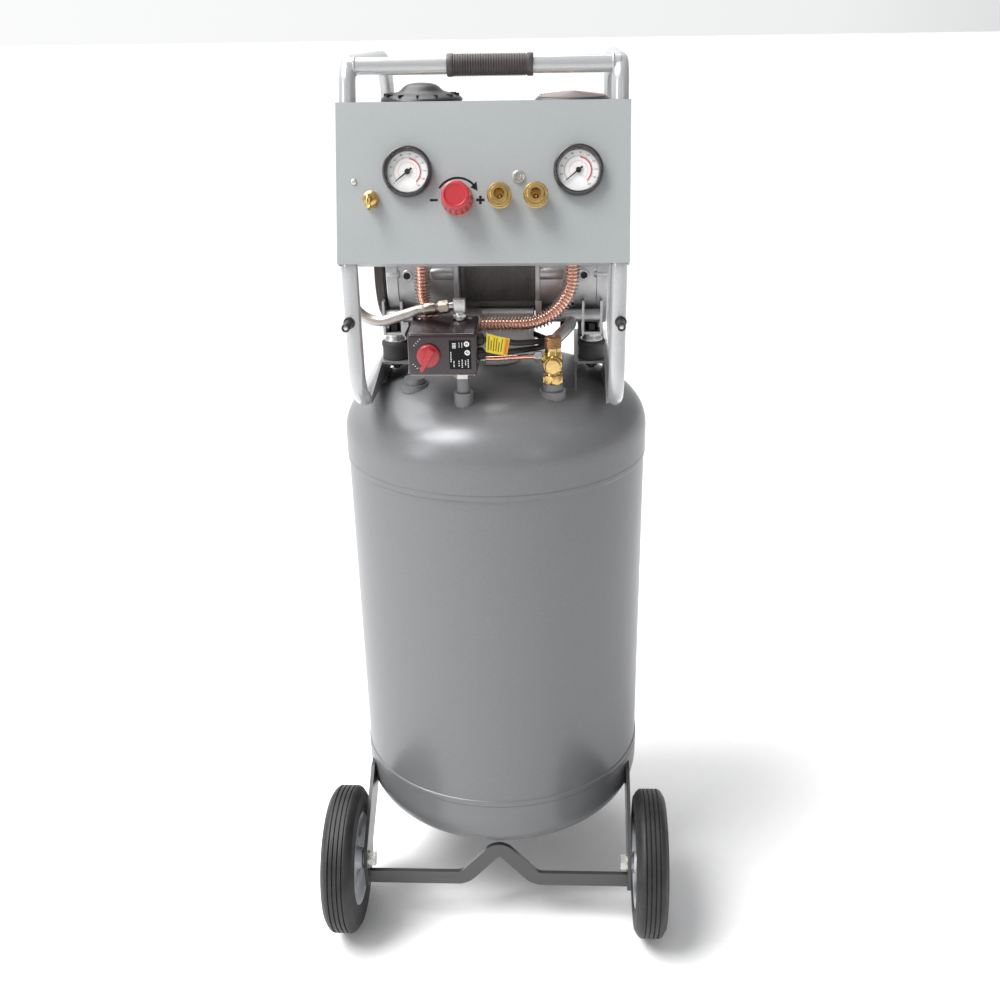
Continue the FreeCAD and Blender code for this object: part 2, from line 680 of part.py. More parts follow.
def crankcase(side):
    inner_end = side * stator_half
    outer_end = side * crankcase_end
    wall = side * 8.0
    body = rod(crankcase_radius, along(inner_end), along(outer_end))
    x = cylinder_x(side)
    body = body.fuse(rod(40, vec(x, pump_y, pump_z), vec(x, pump_y, neck_z)))
    for y, back in ((mount_front_y, 1), (mount_rear_y, -1)):
        body = body.fuse(lug(side, y, back))
    room = rod(crankcase_radius - 6, along(inner_end + wall), along(outer_end - wall))
    body = body.cut(room).cut(rod(shaft_radius + 12, along(inner_end), along(outer_end)))
    body = body.cut(rod(fan_radius + 2, along(-crankcase_end - 20), along(-crankcase_end)))
    body = body.cut(rod(cylinder_bore, vec(x, pump_y, pump_z), vec(x, pump_y, neck_z + 1)))
    return body


def terminal_box():
    box = block(-20, 52, -36, 36, 806, 850)
    return box.cut(rod(stator_radius, along(-stator_half), along(stator_half)))


def pump_cylinder(side):
    x = cylinder_x(side)
    profile = [(cylinder_bore, neck_z)]
    z = neck_z
    pitch = 9.0
    while z + pitch <= cylinder_top_z + 0.01:
        profile += [(46, z), (46, z + 3), (36, z + 3), (36, z + pitch)]
        z += pitch
    profile += [(46, z), (46, cylinder_top_z), (cylinder_bore, cylinder_top_z)]
    clean = [profile[0]]
    for point in profile[1:]:
        if point != clean[-1]:
            clean.append(point)
    return turned(clean, vec(x, pump_y, 0), Z)


def cylinder_head(side):
    x = cylinder_x(side)
    body = block(x - 47, x + 47, pump_y - 48, pump_y + 48, cylinder_top_z, cylinder_top_z + 12)
    for k in range(7):
        fin_x = x - 47 + 15 * k
        body = body.fuse(block(fin_x, fin_x + 4, pump_y - 48, pump_y + 48, cylinder_top_z + 12, head_top_z))
    return body


def intake_filter(side):
    x = cylinder_x(side)
    if side < 0:
        profile = [(0, head_top_z), (49, head_top_z), (51, 1080), (51, 1100), (46, 1106), (27, 1111),
                   (20, 1117), (9, 1120), (0, 1120.5)]
    else:
        profile = [(0, head_top_z), (45, head_top_z), (47, 1080), (47, 1098), (41, 1104), (0, 1109)]
    return turned(profile, vec(x, pump_y, 0), Z)


def piston(side):
    """An oil-free piston that is one piece with its rod, standing at mid stroke."""
    x = cylinder_x(side)
    crank = vec(x, pump_y, pump_z)
    crown = rod(piston_radius, vec(x, pump_y, 1018), vec(x, pump_y, 1028))
    eye = rod(crank_radius + crank_throw + 7, crank - X * 6, crank + X * 6)
    rod_bar = block(x - 5, x + 5, pump_y - 8, pump_y + 8, pump_z + 20, 1019)
    bearing = rod(crank_radius + crank_throw + 0.5, crank - X * 7, crank + X * 7)
    return crown.fuse(eye).fuse(rod_bar).cut(bearing)


def pump_parts():
    stator = ring(stator_radius, 36, along(-stator_half), along(stator_half))
    save("motor_stator", stator)
    shaft = rod(shaft_radius, along(-crankcase_end - 16), along(crankcase_end - 2))
    core = rod(35.4, along(-stator_half + 6), along(stator_half - 6))
    rotor = shaft.fuse(core)
    for side in (-1, 1):
        crank = vec(cylinder_x(side), pump_y, pump_z + side * crank_throw)
        rotor = rotor.fuse(rod(crank_radius, crank - X * 6, crank + X * 6))
    save("motor_rotor", rotor)
    fan_inner = -crankcase_end - 3.0
    fan = ring(fan_radius, shaft_radius, along(fan_inner - 2), along(fan_inner))
    fan = fan.fuse(ring(16, shaft_radius, along(fan_inner - 13), along(fan_inner)))
    blades = 9
    for k in range(blades):
        blade = block(-13, -1, -1, 1, 14, fan_radius - 1)
        blade.rotate(vec(0, 0, 0), X, 360 * k / blades)
        blade.translate(along(fan_inner))
        fan = fan.fuse(blade)
    save("cooling_fan", fan.cut(rod(shaft_radius, along(fan_inner - 20), along(fan_inner + 1))))
    bearings = []
    for side in (-1, 1):
        for reach in (stator_half, crankcase_end - 8):
            bearings.append(ring(shaft_radius + 12, shaft_radius + running_gap, along(side * reach),
                                 along(side * (reach + 8))))
    save("shaft_bearings", *bearings)
    save("crankcases", crankcase(-1), crankcase(1))
    save("pump_cylinders", pump_cylinder(-1), pump_cylinder(1))
    save("cylinder_heads", cylinder_head(-1), cylinder_head(1))
    save("intake_filters", intake_filter(-1), intake_filter(1))
    save("pistons", piston(-1), piston(1))
    save("terminal_box", terminal_box())


def mount_parts():
    plate = block(105, 146, -46, 126, rail_top_z - rail_wall, rail_top_z)
    skirts = (((105, -84, 764), (105, -84, 735)), ((143, -142, 772), (143, -142, 764)))
    rail = plate
    for (x, tip_y, tip_z), (_, low_y, low_z) in skirts:
        outline = [(126, rail_top_z), (-46, rail_top_z), (tip_y, tip_z), (low_y, low_z), (126, low_z)]
        points = [vec(x, y, z) for y, z in outline]
        rail = rail.fuse(Part.Face(Part.makePolygon(points + [points[0]])).extrude(vec(rail_wall, 0, 0)))
    rail = rail.cut(top_envelope).cut(loop(1))
    rail = max(rail.Solids, key=lambda s: s.Volume)
    mounts = []
    bolts = []
    for y in (mount_front_y, mount_rear_y):
        spot = vec(mount_x, y, 0)
        rail = rail.cut(rod(4, spot + Z * 780, spot + Z * 795))
        profile = [(4, rail_top_z), (18, rail_top_z), (18, foot_bottom_z - 1), (17, foot_bottom_z),
                   (4, foot_bottom_z)]
        mounts.append(turned(profile, spot, Z))
        bolt = rod(4, spot + Z * 777, spot + Z * (lug_plate_z + 2))
        bolt = bolt.fuse(hexagon(13, spot + Z * lug_plate_z, spot + Z * (lug_plate_z + 9)))
        bolt = bolt.fuse(hexagon(13, spot + Z * 780, spot + Z * (rail_top_z - rail_wall)))
        bolts.append(bolt)
    left_rail = mirrored(rail).cut(rod(18, vec(-98, -78, 700), vec(-98, -78, rail_top_z)))
    save("mount_rails", rail, max(left_rail.Solids, key=lambda s: s.Volume))
    save("vibration_mounts", *mounts, *[mirrored(m) for m in mounts])
    save("mount_bolts", *bolts, *[mirrored(b) for b in bolts])


# ---------------------------------------------------------------- wheels, bracket and feet

def tyre():
    r = wheel_radius
    w = wheel_width
    profile = [(hub_radius, 2), (72, 0.6), (90, 0.6), (97, 3.5), (r, 9)]
    for k in range(4):
        u = 12.5 + 6 * k
        profile += [(r, u), (r - 2.6, u + 0.4), (r - 2.6, u + 1.6), (r, u + 2)]
    profile += [(r, w - 9), (97, w - 3.5), (90, w), (72, w), (hub_radius, w - 2)]
    return turned(profile, vec(wheel_inner_x, axle_y, wheel_radius), X)


def hub():
    bore = axle_radius + running_gap
    w = wheel_width
    profile = [(bore, 0), (15, 0), (17, 9), (40, 12), (55, 10), (59, 3), (hub_radius, 2), (hub_radius, w - 2),
               (59, w - 3), (55, w - 10), (40, 18), (17, 20), (15, 36), (bore, 36)]
    return turned(profile, vec(wheel_inner_x, axle_y, wheel_radius), X)


def axle_pieces():
    def spot(x):
        return vec(x, axle_y, wheel_radius)

    hub_end = wheel_inner_x + 36
    bolt = rod(axle_radius, spot(leg_inner_x - 4), spot(hub_end + 8))
    bolt = bolt.fuse(hexagon(19, spot(leg_inner_x - 10), spot(leg_inner_x - 2)))
    washers = [ring(11, axle_radius, spot(leg_inner_x - 2), spot(leg_inner_x)),
               ring(11, axle_radius, spot(leg_outer_x), spot(wheel_inner_x - 0.3))]
    nut = hexagon(19, spot(hub_end + 0.4), spot(hub_end + 7)).cut(rod(axle_radius, spot(0), spot(300)))
    return [bolt, *washers, nut]


def bracket():
    """A flat bar on edge with a raised vee that meets the tank, and a slanting leg at each end."""
    corners = [(-leg_outer_x, bar_centre_z), (vee_centre_x - vee_half_width, bar_centre_z),
               (vee_centre_x, vee_top_z), (vee_centre_x + vee_half_width, bar_centre_z),
               (leg_outer_x, bar_centre_z)]
    path = rounded_wire([vec(x, axle_y, z) for x, z in corners], [24, 14, 24])
    t = bar_thickness / 2
    h = bar_height / 2
    start = vec(-leg_outer_x, axle_y, bar_centre_z)
    square = [start + vec(0, dy, dz) for dy, dz in ((-t, -h), (t, -h), (t, h), (-t, h), (-t, -h))]
    bar = path.makePipeShell([Part.makePolygon(square)], True, False)
    outline = [(-200, 64), (-174, 64), (-168, 88), (-60, 156), (-60, 196), (-92, 196), (-196, 122),
               (-203, 100)]
    points = [vec(leg_inner_x, y, z) for y, z in outline]
    leg = Part.Face(Part.makePolygon(points + [points[0]])).extrude(vec(leg_outer_x - leg_inner_x, 0, 0))
    leg = leg.cut(rod(axle_radius, vec(150, axle_y, wheel_radius), vec(200, axle_y, wheel_radius)))
    body = bar.fuse(leg).fuse(mirrored(leg))
    shell = rod(tank_radius, vec(0, 0, bottom_seam_z), vec(0, 0, top_seam_z))
    body = body.cut(bottom_envelope).cut(shell)
    return max(body.Solids, key=lambda s: s.Volume)


def wheel_parts():
    save("right_tyre", tyre())
    save("right_hub", hub())
    save("left_tyre", mirrored(tyre()))
    save("left_hub", mirrored(hub()))
    pieces = axle_pieces()
    save("axle_bolts", *pieces, *[mirrored(p) for p in pieces])
    save("axle_bracket", bracket())


def foot_parts():
    half = 15.0
    wall = 5.0
    low = foot_height
    leg = block(foot_x - wall, foot_x, foot_y - half, foot_y + half, low, 190)
    base = block(-foot_x, foot_x, foot_y - half, foot_y + half, low, low + wall)
    frame = leg.fuse(base).fuse(mirrored(leg)).cut(bottom_envelope)
    frame = max(frame.Solids, key=lambda s: s.Volume)
    feet = []
    for x in (-foot_x + 22, foot_x - 22):
        foot = turned([(0, 0), (15, 0), (17, 3), (14, low), (0, low)], vec(x, foot_y, 0), Z)
        feet.append(foot)
    save("rear_foot_bracket", frame)
    save("rubber_feet", *feet)


def drain_parts():
    top = tank_bottom_z - 10
    pivot_z = top - 20
    body = hexagon(17, vec(0, 0, top - 8), vec(0, 0, top))
    body = body.fuse(rod(7, vec(0, 0, top - 34), vec(0, 0, top - 8)))
    body = body.fuse(rod(7, vec(0, 0, pivot_z), vec(0, 13, pivot_z)))
    body = body.cut(rod(3, vec(0, 0, top - 35), vec(0, 0, top + 1)))
    stem_room = rod(3 + running_gap, vec(0, 4, pivot_z), vec(0, 14, pivot_z))
    save("drain_valve_body", body.cut(stem_room))
    stem = rod(3, vec(0, 4.2, pivot_z), vec(0, 18, pivot_z))
    lever = block(-4, 38, 14, 18, pivot_z - 4, pivot_z + 4).fuse(stem)
    save("drain_valve_lever", lever)


os.makedirs("parts", exist_ok=True)
tank_parts()
frame_parts()
panel_parts()
switch_parts()
hose_parts()
pipe_parts()
lead_parts()
pump_parts()
mount_parts()
wheel_parts()
foot_parts()
drain_parts()
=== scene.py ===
import json
import math

import bmesh
import bpy
from mathutils import Matrix, Vector


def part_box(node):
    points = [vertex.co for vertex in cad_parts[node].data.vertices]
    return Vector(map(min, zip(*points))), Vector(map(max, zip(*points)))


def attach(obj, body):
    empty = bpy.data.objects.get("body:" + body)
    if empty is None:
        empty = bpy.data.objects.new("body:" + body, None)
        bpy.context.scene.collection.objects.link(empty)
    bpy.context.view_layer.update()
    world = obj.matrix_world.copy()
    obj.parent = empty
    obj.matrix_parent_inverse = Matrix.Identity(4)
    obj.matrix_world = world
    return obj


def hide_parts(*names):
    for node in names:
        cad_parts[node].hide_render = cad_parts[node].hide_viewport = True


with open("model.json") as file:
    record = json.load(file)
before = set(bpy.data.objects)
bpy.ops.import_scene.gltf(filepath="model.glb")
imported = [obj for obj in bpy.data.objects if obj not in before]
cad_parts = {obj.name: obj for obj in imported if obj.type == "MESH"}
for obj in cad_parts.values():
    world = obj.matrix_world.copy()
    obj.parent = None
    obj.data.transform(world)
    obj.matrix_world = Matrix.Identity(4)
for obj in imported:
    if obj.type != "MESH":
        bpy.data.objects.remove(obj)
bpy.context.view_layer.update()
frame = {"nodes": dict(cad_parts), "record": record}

# Air compressor: the looks of an upright tank with a twin-cylinder motor-pump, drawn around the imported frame.
# Lengths are metres. T() takes points in millimetres about the tank's axis, which is how the part is drawn.
# The panel has its own frame: x across, v up its slope from the bottom edge, n out of its face.

MM = 0.001
tank_axis_y = 35.05
lean = math.radians(19.7)
panel_front_y = -171.0 - 11.1 / math.cos(lean)
panel_bottom_z = 940.5


def T(x, y, z):
    """A point given in millimetres about the tank's axis, in the row frame."""
    return Vector((x, y + tank_axis_y, z)) * MM


across = Vector((1, 0, 0))
up_slope = Vector((0, math.sin(lean), math.cos(lean)))
outward = Vector((0, -math.cos(lean), math.sin(lean)))


def P(x, v, n):
    """A point given in millimetres in the panel's frame."""
    return T(0, panel_front_y, panel_bottom_z) + (across * x + up_slope * v + outward * n) * MM


def frame_at(origin, z_axis, x_axis=Vector((1, 0, 0))):
    """A placement whose local Z points along z_axis, and local X near x_axis, or up where the two are in line."""
    z = Vector(z_axis).normalized()
    x = Vector(x_axis)
    if abs(z.dot(x)) > 0.95:
        x = Vector((0, 0, 1))
    x = (x - z * x.dot(z)).normalized()
    y = z.cross(x)
    turn = Matrix((x, y, z)).transposed().to_4x4()
    return Matrix.Translation(origin) @ turn


def panel_place(spot, n=0.0):
    """A placement on the panel: local X across, local Y up the slope, local Z outward."""
    return frame_at(P(spot[0], spot[1], n), outward)


def placed(name, data):
    """A new object in the scene."""
    thing = bpy.data.objects.new(name, data)
    bpy.context.scene.collection.objects.link(thing)
    return thing


# ---------------------------------------------------------------- camera, floor and light

def make_camera():
    data = bpy.data.cameras.new("camera")
    camera = placed("camera", data)
    turn = (Matrix.Rotation(math.radians(2.70), 4, "Z")
            @ Matrix.Rotation(math.radians(90 - 24.46), 4, "X")
            @ Matrix.Rotation(math.radians(-0.88), 4, "Z"))
    camera.matrix_world = Matrix.Translation((0.093258, -1.463113, 1.188654)) @ turn
    data.lens = 41.705
    data.sensor_width = 36.0
    data.shift_x = -0.01484
    data.shift_y = 0.04758
    data.clip_start = 0.05
    bpy.context.scene.camera = camera


def make_floor():
    mesh = bpy.data.meshes.new("floor")
    bm = bmesh.new()
    bmesh.ops.create_grid(bm, x_segments=1, y_segments=1, size=90)
    bm.to_mesh(mesh)
    bm.free()
    floor = placed("floor", mesh)
    mesh.materials.append(plain("floor_pale", (0.90, 0.90, 0.90), 0.95, spread=0.01))


def area_light(name, place, target, size, power):
    data = bpy.data.lights.new(name, "AREA")
    data.shape = "RECTANGLE"
    data.size = size[0]
    data.size_y = size[1]
    data.energy = power
    light = placed(name, data)
    direction = Vector(target) - Vector(place)
    light.rotation_euler = direction.to_track_quat("-Z", "Y").to_euler()
    light.location = place


def map_range(tree, value, start, end, low, high):
    """Maps a value from start..end to low..high, and holds it at low or high beyond them."""
    node = tree.nodes.new("ShaderNodeMapRange")
    for socket, limit in (("From Min", start), ("From Max", end), ("To Min", low), ("To Max", high)):
        node.inputs[socket].default_value = limit
    tree.links.new(value, node.inputs["Value"])
    return node.outputs["Result"]


def make_world():
    """A pale studio all round: brightest behind the object and to its left, dim to its right."""
    world = bpy.data.worlds.new("studio")
    world.use_nodes = True
    tree = world.node_tree
    link = tree.links.new
    background = tree.nodes["Background"]
    background.inputs["Strength"].default_value = 0.80
    direction = tree.nodes.new("ShaderNodeTexCoord")
    parts = tree.nodes.new("ShaderNodeSeparateXYZ")
    link(direction.outputs["Generated"], parts.inputs[0])
    ramp = tree.nodes.new("ShaderNodeValToRGB")
    ramp.color_ramp.elements[0].color = (0.80, 0.80, 0.80, 1)
    ramp.color_ramp.elements[1].color = (0.42, 0.42, 0.43, 1)
    ramp.color_ramp.elements.new(0.5).color = (0.60, 0.605, 0.61, 1)
    link(map_range(tree, parts.outputs["X"], -1.0, 1.0, 0.0, 1.0), ramp.inputs["Fac"])
    glow = tree.nodes.new("ShaderNodeMath")
    glow.operation = "MULTIPLY"
    link(map_range(tree, parts.outputs["Y"], 0.3, 0.9, 0.0, 0.52), glow.inputs[0])
    link(map_range(tree, parts.outputs["X"], 0.2, 0.7, 1.0, 0.0), glow.inputs[1])
    total = tree.nodes.new("ShaderNodeVectorMath")
    total.operation = "ADD"
    link(ramp.outputs["Color"], total.inputs[0])
    link(glow.outputs["Value"], total.inputs[1])
    link(total.outputs["Vector"], background.inputs["Color"])
    bpy.context.scene.world = world


def make_lights():
    middle = (0, 0, 0.6)
    area_light("key", (-2.4, -1.7, 1.9), middle, (0.6, 2.0), 22)
    area_light("fill", (1.7, -2.6, 2.2), middle, (0.3, 1.6), 5)
    area_light("top", (-0.9, 0.5, 2.8), middle, (2.6, 1.6), 66)
    sun_data = bpy.data.lights.new("sun", "SUN")
    sun_data.energy = 2.6
    sun_data.angle = math.radians(28)
    sun = placed("sun", sun_data)
    sun.rotation_euler = Vector((0.46, 0.22, -0.86)).to_track_quat("-Z", "Y").to_euler()
    make_world()
    bpy.context.scene.view_settings.view_transform = "Standard"


# ---------------------------------------------------------------- materials

class Shader:
    """A Principled material with short calls for the procedural nodes that feed it."""

    def __init__(self, name, roughness=0.5, metallic=0.0, **settings):
        self.material = bpy.data.materials.new(name)
        self.material.use_nodes = True
        self.tree = self.material.node_tree
        self.bsdf = self.tree.nodes["Principled BSDF"]
        self.bsdf.inputs["Roughness"].default_value = roughness
        self.bsdf.inputs["Metallic"].default_value = metallic
        for key, value in settings.items():
            self.bsdf.inputs[key.replace("_", " ")].default_value = value
        self.place = self.node("ShaderNodeTexCoord").outputs["Object"]

    def node(self, kind):
        return self.tree.nodes.new(kind)

    def link(self, a, b):
        self.tree.links.new(a, b)

    def noise(self, scale, detail=4.0, rough=0.6):
        texture = self.node("ShaderNodeTexNoise")
        texture.inputs["Scale"].default_value = scale
        texture.inputs["Detail"].default_value = detail
        texture.inputs["Roughness"].default_value = rough
        self.link(self.place, texture.inputs["Vector"])
        return texture.outputs["Fac"]

    def ramp(self, value, *stops):
        """Maps a value to colours, or to greys where a stop's colour is a number."""
        ramp = self.node("ShaderNodeValToRGB")
        elements = ramp.color_ramp.elements
        while len(elements) < len(stops):
            elements.new(0.5)
        for element, (place, colour) in zip(elements, stops):
            element.position = place
            if not isinstance(colour, (tuple, list)):
                colour = (colour, colour, colour)
            element.color = (*colour, 1)
        self.link(value, ramp.inputs["Fac"])
        return ramp.outputs["Color"]

    def colour(self, value, *stops):
        self.link(self.ramp(value, *stops), self.bsdf.inputs["Base Color"])

    def roughness(self, value, low, high):
        self.link(map_range(self.tree, value, 0.0, 1.0, low, high), self.bsdf.inputs["Roughness"])

    def bump(self, value, strength, depth):
        bump = self.node("ShaderNodeBump")
        bump.inputs["Strength"].default_value = strength
        bump.inputs["Distance"].default_value = depth
        self.link(value, bump.inputs["Height"])
        self.link(bump.outputs["Normal"], self.bsdf.inputs["Normal"])


def plain(name, colour, roughness, metallic=0.0, spread=0.06, grain=60.0, bump=0.0, specular=0.5):
    """A finish with a slight mottle in its colour and roughness, and a fine grain."""
    shader = Shader(name, roughness, metallic, Specular_IOR_Level=specular)
    mottle = shader.noise(grain, 5.0)
    dark = tuple(c * (1 - spread) for c in colour)
    light = tuple(min(1.0, c * (1 + spread)) for c in colour)
    shader.colour(mottle, (0.3, dark), (0.7, light))
    shader.roughness(shader.noise(grain * 0.4, 4.0), roughness * 0.85, min(1.0, roughness * 1.15))
    if bump:
        shader.bump(mottle, bump, 0.0005)
    return shader.material


def gloss_paint(name, colour, roughness, metallic, coat=0.35):
    """Sprayed paint: a fine metallic flake under a coat with a little orange peel."""
    shader = Shader(name, roughness, metallic, Coat_Weight=coat, Coat_Roughness=0.14,
                    Specular_IOR_Level=coat + 0.15)
    dark = tuple(c * 0.93 for c in colour)
    light = tuple(min(1.0, c * 1.06) for c in colour)
    shader.colour(shader.noise(900.0, 2.0), (0.35, dark), (0.65, light))
    shader.roughness(shader.noise(9.0, 5.0), roughness * 0.85, roughness * 1.2)
    shader.bump(shader.noise(70.0, 2.0, 0.4), 0.10, 0.0012)
    return shader.material


def speckled_paint(name, colour):
    """Powder coat with a fine pale and dark speckle."""
    shader = Shader(name, 0.42, 0.15, Coat_Weight=0.15, Coat_Roughness=0.3)
    dark = tuple(c * 0.84 for c in colour)
    light = tuple(min(1.0, c * 1.14) for c in colour)
    speck = shader.noise(1400.0, 3.0, 0.75)
    shader.colour(speck, (0.36, dark), (0.46, colour), (0.6, colour), (0.7, light))
    shader.roughness(shader.noise(14.0, 4.0), 0.36, 0.48)
    shader.bump(speck, 0.08, 0.0004)
    return shader.material


def cast_metal(name, colour, grain=420.0, depth=0.0009, strength=0.35, roughness=0.42, metallic=0.85):
    """Sand-cast metal: a grainy skin with brighter worn places."""
    shader = Shader(name, roughness, metallic)
    skin = shader.noise(grain, 6.0, 0.7)
    dark = tuple(c * 0.72 for c in colour)
    shader.colour(shader.noise(26.0, 5.0, 0.65), (0.3, dark), (0.62, colour))
    shader.roughness(skin, roughness * 0.75, roughness * 1.35)
    shader.bump(skin, strength, depth)
    return shader.material


def worked_metal(name, colour, roughness=0.22, tarnish=0.82):
    """Turned or plated metal, with a little tarnish and a fine grain."""
    shader = Shader(name, roughness, 1.0)
    dark = tuple(c * tarnish for c in colour)
    shader.colour(shader.noise(75.0, 6.0, 0.65), (0.28, dark), (0.6, colour))
    shader.roughness(shader.noise(240.0, 4.0), roughness * 0.6, roughness * 1.5)
    shader.bump(shader.noise(700.0, 3.0, 0.6), 0.10, 0.0003)
    return shader.material


def rubber(name, colour, roughness=0.62, dust=0.05):
    """Black rubber with a pale bloom in places."""
    shader = Shader(name, roughness)
    bloom = tuple(c + dust for c in colour)
    shader.colour(shader.noise(38.0, 7.0, 0.7), (0.38, colour), (0.75, bloom))
    shader.roughness(shader.noise(60.0, 4.0), roughness * 0.8, min(1.0, roughness * 1.2))
    shader.bump(shader.noise(900.0, 4.0, 0.7), 0.16, 0.0004)
    return shader.material


def moulded(name, colour, roughness=0.35, texture=800.0, strength=0.12, coat=0.0):
    """Moulded plastic with a fine spark-eroded texture."""
    shader = Shader(name, roughness, 0.0, Coat_Weight=coat, Coat_Roughness=0.08)
    dark = tuple(c * 0.86 for c in colour)
    shader.colour(shader.noise(30.0, 4.0), (0.3, dark), (0.7, colour))
    shader.roughness(shader.noise(90.0, 4.0), roughness * 0.8, roughness * 1.25)
    shader.bump(shader.noise(texture, 3.0, 0.6), strength, 0.0003)
    return shader.material


def glass(name):
    shader = Shader(name, 0.03, 0.0, Transmission_Weight=1.0, IOR=1.12, Alpha=0.22)
    shader.colour(shader.noise(12.0), (0.2, (0.97, 0.98, 0.98)), (0.8, (1.0, 1.0, 1.0)))
    return shader.material


def make_materials():
    """Every finish by its name, from the function that makes it and its settings."""
    finishes = {
        "tank_paint": (gloss_paint, (0.195, 0.197, 0.204), 0.30, 0.25, 0.0),
        "frame_paint": (gloss_paint, (0.46, 0.465, 0.47), 0.22, 0.4),
        # The axle bracket's paint is a much darker copy of the frame's gloss paint: painted shade on the bar.
        "bracket_paint": (gloss_paint, (0.062, 0.063, 0.062), 0.34, 0.2),
        "panel_paint": (speckled_paint, (0.345, 0.365, 0.37)),
        "hub_paint": (plain, (0.46, 0.47, 0.50), 0.45, 0.1, 0.06, 90.0, 0.12),
        "grip_rubber": (rubber, (0.042, 0.034, 0.032), 0.5, 0.03),
        "black_rubber": (rubber, (0.018, 0.018, 0.018), 0.6, 0.03),
        "tyre_rubber": (rubber, (0.011, 0.011, 0.012), 0.55, 0.016),
        "black_plastic": (moulded, (0.016, 0.014, 0.014), 0.38),
        "gauge_plastic": (moulded, (0.020, 0.012, 0.015), 0.2, 500.0, 0.04, 0.5),
        "switch_plastic": (moulded, (0.026, 0.013, 0.017), 0.22, 700.0, 0.06, 0.4),
        "box_plastic": (moulded, (0.50, 0.49, 0.48), 0.45),
        "red_plastic": (moulded, (0.44, 0.025, 0.034), 0.3, 500.0, 0.06, 0.4),
        "dial_face": (plain, (0.82, 0.82, 0.81), 0.5, 0.0, 0.015),
        "clear_lens": (glass,),
        "needle_black": (moulded, (0.012, 0.012, 0.012), 0.4),
        "zinc_steel": (worked_metal, (0.62, 0.61, 0.57), 0.28),
        "brass": (worked_metal, (0.72, 0.50, 0.20), 0.22, 0.72),
        "braid_steel": (worked_metal, (0.60, 0.57, 0.54), 0.3, 0.7),
        "copper": (worked_metal, (0.90, 0.47, 0.36), 0.26, 0.85),
        "pipe_steel": (worked_metal, (0.56, 0.55, 0.54), 0.3, 0.8),
        "motor_black": (cast_metal, (0.13, 0.12, 0.122), 300.0, 0.0006, 0.2, 0.5, 0.3),
        "shaft_steel": (worked_metal, (0.58, 0.58, 0.58), 0.25),
        "cast_aluminium": (cast_metal, (0.52, 0.52, 0.53)),
        "bolt_black": (cast_metal, (0.030, 0.030, 0.032), 500.0, 0.0002, 0.2, 0.35),
        "cable_black": (rubber, (0.014, 0.014, 0.015), 0.42, 0.02),
        "print_black": (plain, (0.006, 0.006, 0.007), 0.6, 0.0, 0.1, 60.0, 0.0, 0.2),
        "print_red": (plain, (0.62, 0.03, 0.03), 0.5, 0.0, 0.1),
        "print_white": (plain, (0.78, 0.78, 0.76), 0.5, 0.0, 0.05),
        "print_orange": (plain, (0.80, 0.24, 0.03), 0.5, 0.0, 0.08),
        # Near-black discs set inside holes stand in for the shade in their depth: painted shade.
        "hole_dark": (plain, (0.012, 0.012, 0.013), 0.7, 0.0, 0.1),
        # The hose core's brown stands for brown surroundings reflected in the braid: painted reflection.
        "braid_core": (rubber, (0.25, 0.15, 0.115), 0.5, 0.03),
        "swivel_steel": (worked_metal, (0.40, 0.35, 0.30), 0.3, 0.8),
        "nut_grey": (worked_metal, (0.66, 0.66, 0.64), 0.30, 0.8),
        "brown_fitting": (worked_metal, (0.50, 0.30, 0.16), 0.34, 0.7),
        "copper_fins": (worked_metal, (0.62, 0.55, 0.51), 0.34, 0.8),
        "fan_brown": (moulded, (0.040, 0.028, 0.024), 0.4),
        "lid_grey": (moulded, (0.34, 0.29, 0.28), 0.35),
        "tag_yellow": (plain, (0.86, 0.66, 0.03), 0.45, 0.0, 0.1, 120.0, 0.15),
    }
    return {name: make(name, *settings) for name, (make, *settings) in finishes.items()}


# ---------------------------------------------------------------- mesh helpers

print_thickness = 0.06


def new_piece(name, bm, material, body="frame", smooth=35.0):
    """Turns a bmesh into a piece with its material and slot, which rides on a CAD body."""
    mesh = bpy.data.meshes.new(name)
    bmesh.ops.recalc_face_normals(bm, faces=bm.faces)
    bm.to_mesh(mesh)
    bm.free()
    for polygon in mesh.polygons:
        polygon.use_smooth = True
    mesh.set_sharp_from_angle(angle=math.radians(smooth))
    piece = placed(name, mesh)
    mesh.materials.append(materials[material])
    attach(piece, body)
    return piece


def bridge(bm, rings):
    """Joins each ring of vertices to the next; all have the same count."""
    for a, b in zip(rings, rings[1:]):
        for k in range(len(a)):
            j = (k + 1) % len(a)
            bm.faces.new((a[k], a[j], b[j], b[k]))


def loft(bm, rings):
    """Joins rings of points and closes the two ends."""
    made = [[bm.verts.new(p) for p in points] for points in rings]
    bridge(bm, made)
    bm.faces.new(made[0][::-1])
    bm.faces.new(made[-1])


def loft_ring(bm, rings):
    """Joins rings of points into a closed band, with the last joined to the first."""
    made = [[bm.verts.new(p) for p in points] for points in rings]
    bridge(bm, made + made[:1])


def prism(bm, outline, low, high, place):
    """Adds a solid with a flat outline of (x, y) millimetres, from low to high along local Z."""
    loft(bm, [[place @ (Vector((x, y, z)) * MM) for x, y in outline] for z in (low, high)])


def carried_frames(path):
    """The point, direction and two sides at each point of a path, carried along it without twist."""
    frames = []
    side = (path[1] - path[0]).normalized().orthogonal().normalized()
    for k, point in enumerate(path):
        way = (path[min(k + 1, len(path) - 1)] - path[max(k - 1, 0)]).normalized()
        side = (side - way * side.dot(way)).normalized()
        frames.append((point, way, side, way.cross(side)))
    return frames


def ring_round(point, u, v, radius, steps):
    """A round ring of points in the plane of u and v."""
    angles = [2 * math.pi * s / steps for s in range(steps)]
    return [point + (u * math.cos(a) + v * math.sin(a)) * radius for a in angles]


def sweep(bm, path, radii, steps):
    """Adds a round tube along a path, with a radius for each of its points."""
    frames = carried_frames(path)
    loft(bm, [ring_round(point, u, v, radius, steps) for (point, _, u, v), radius in zip(frames, radii)])


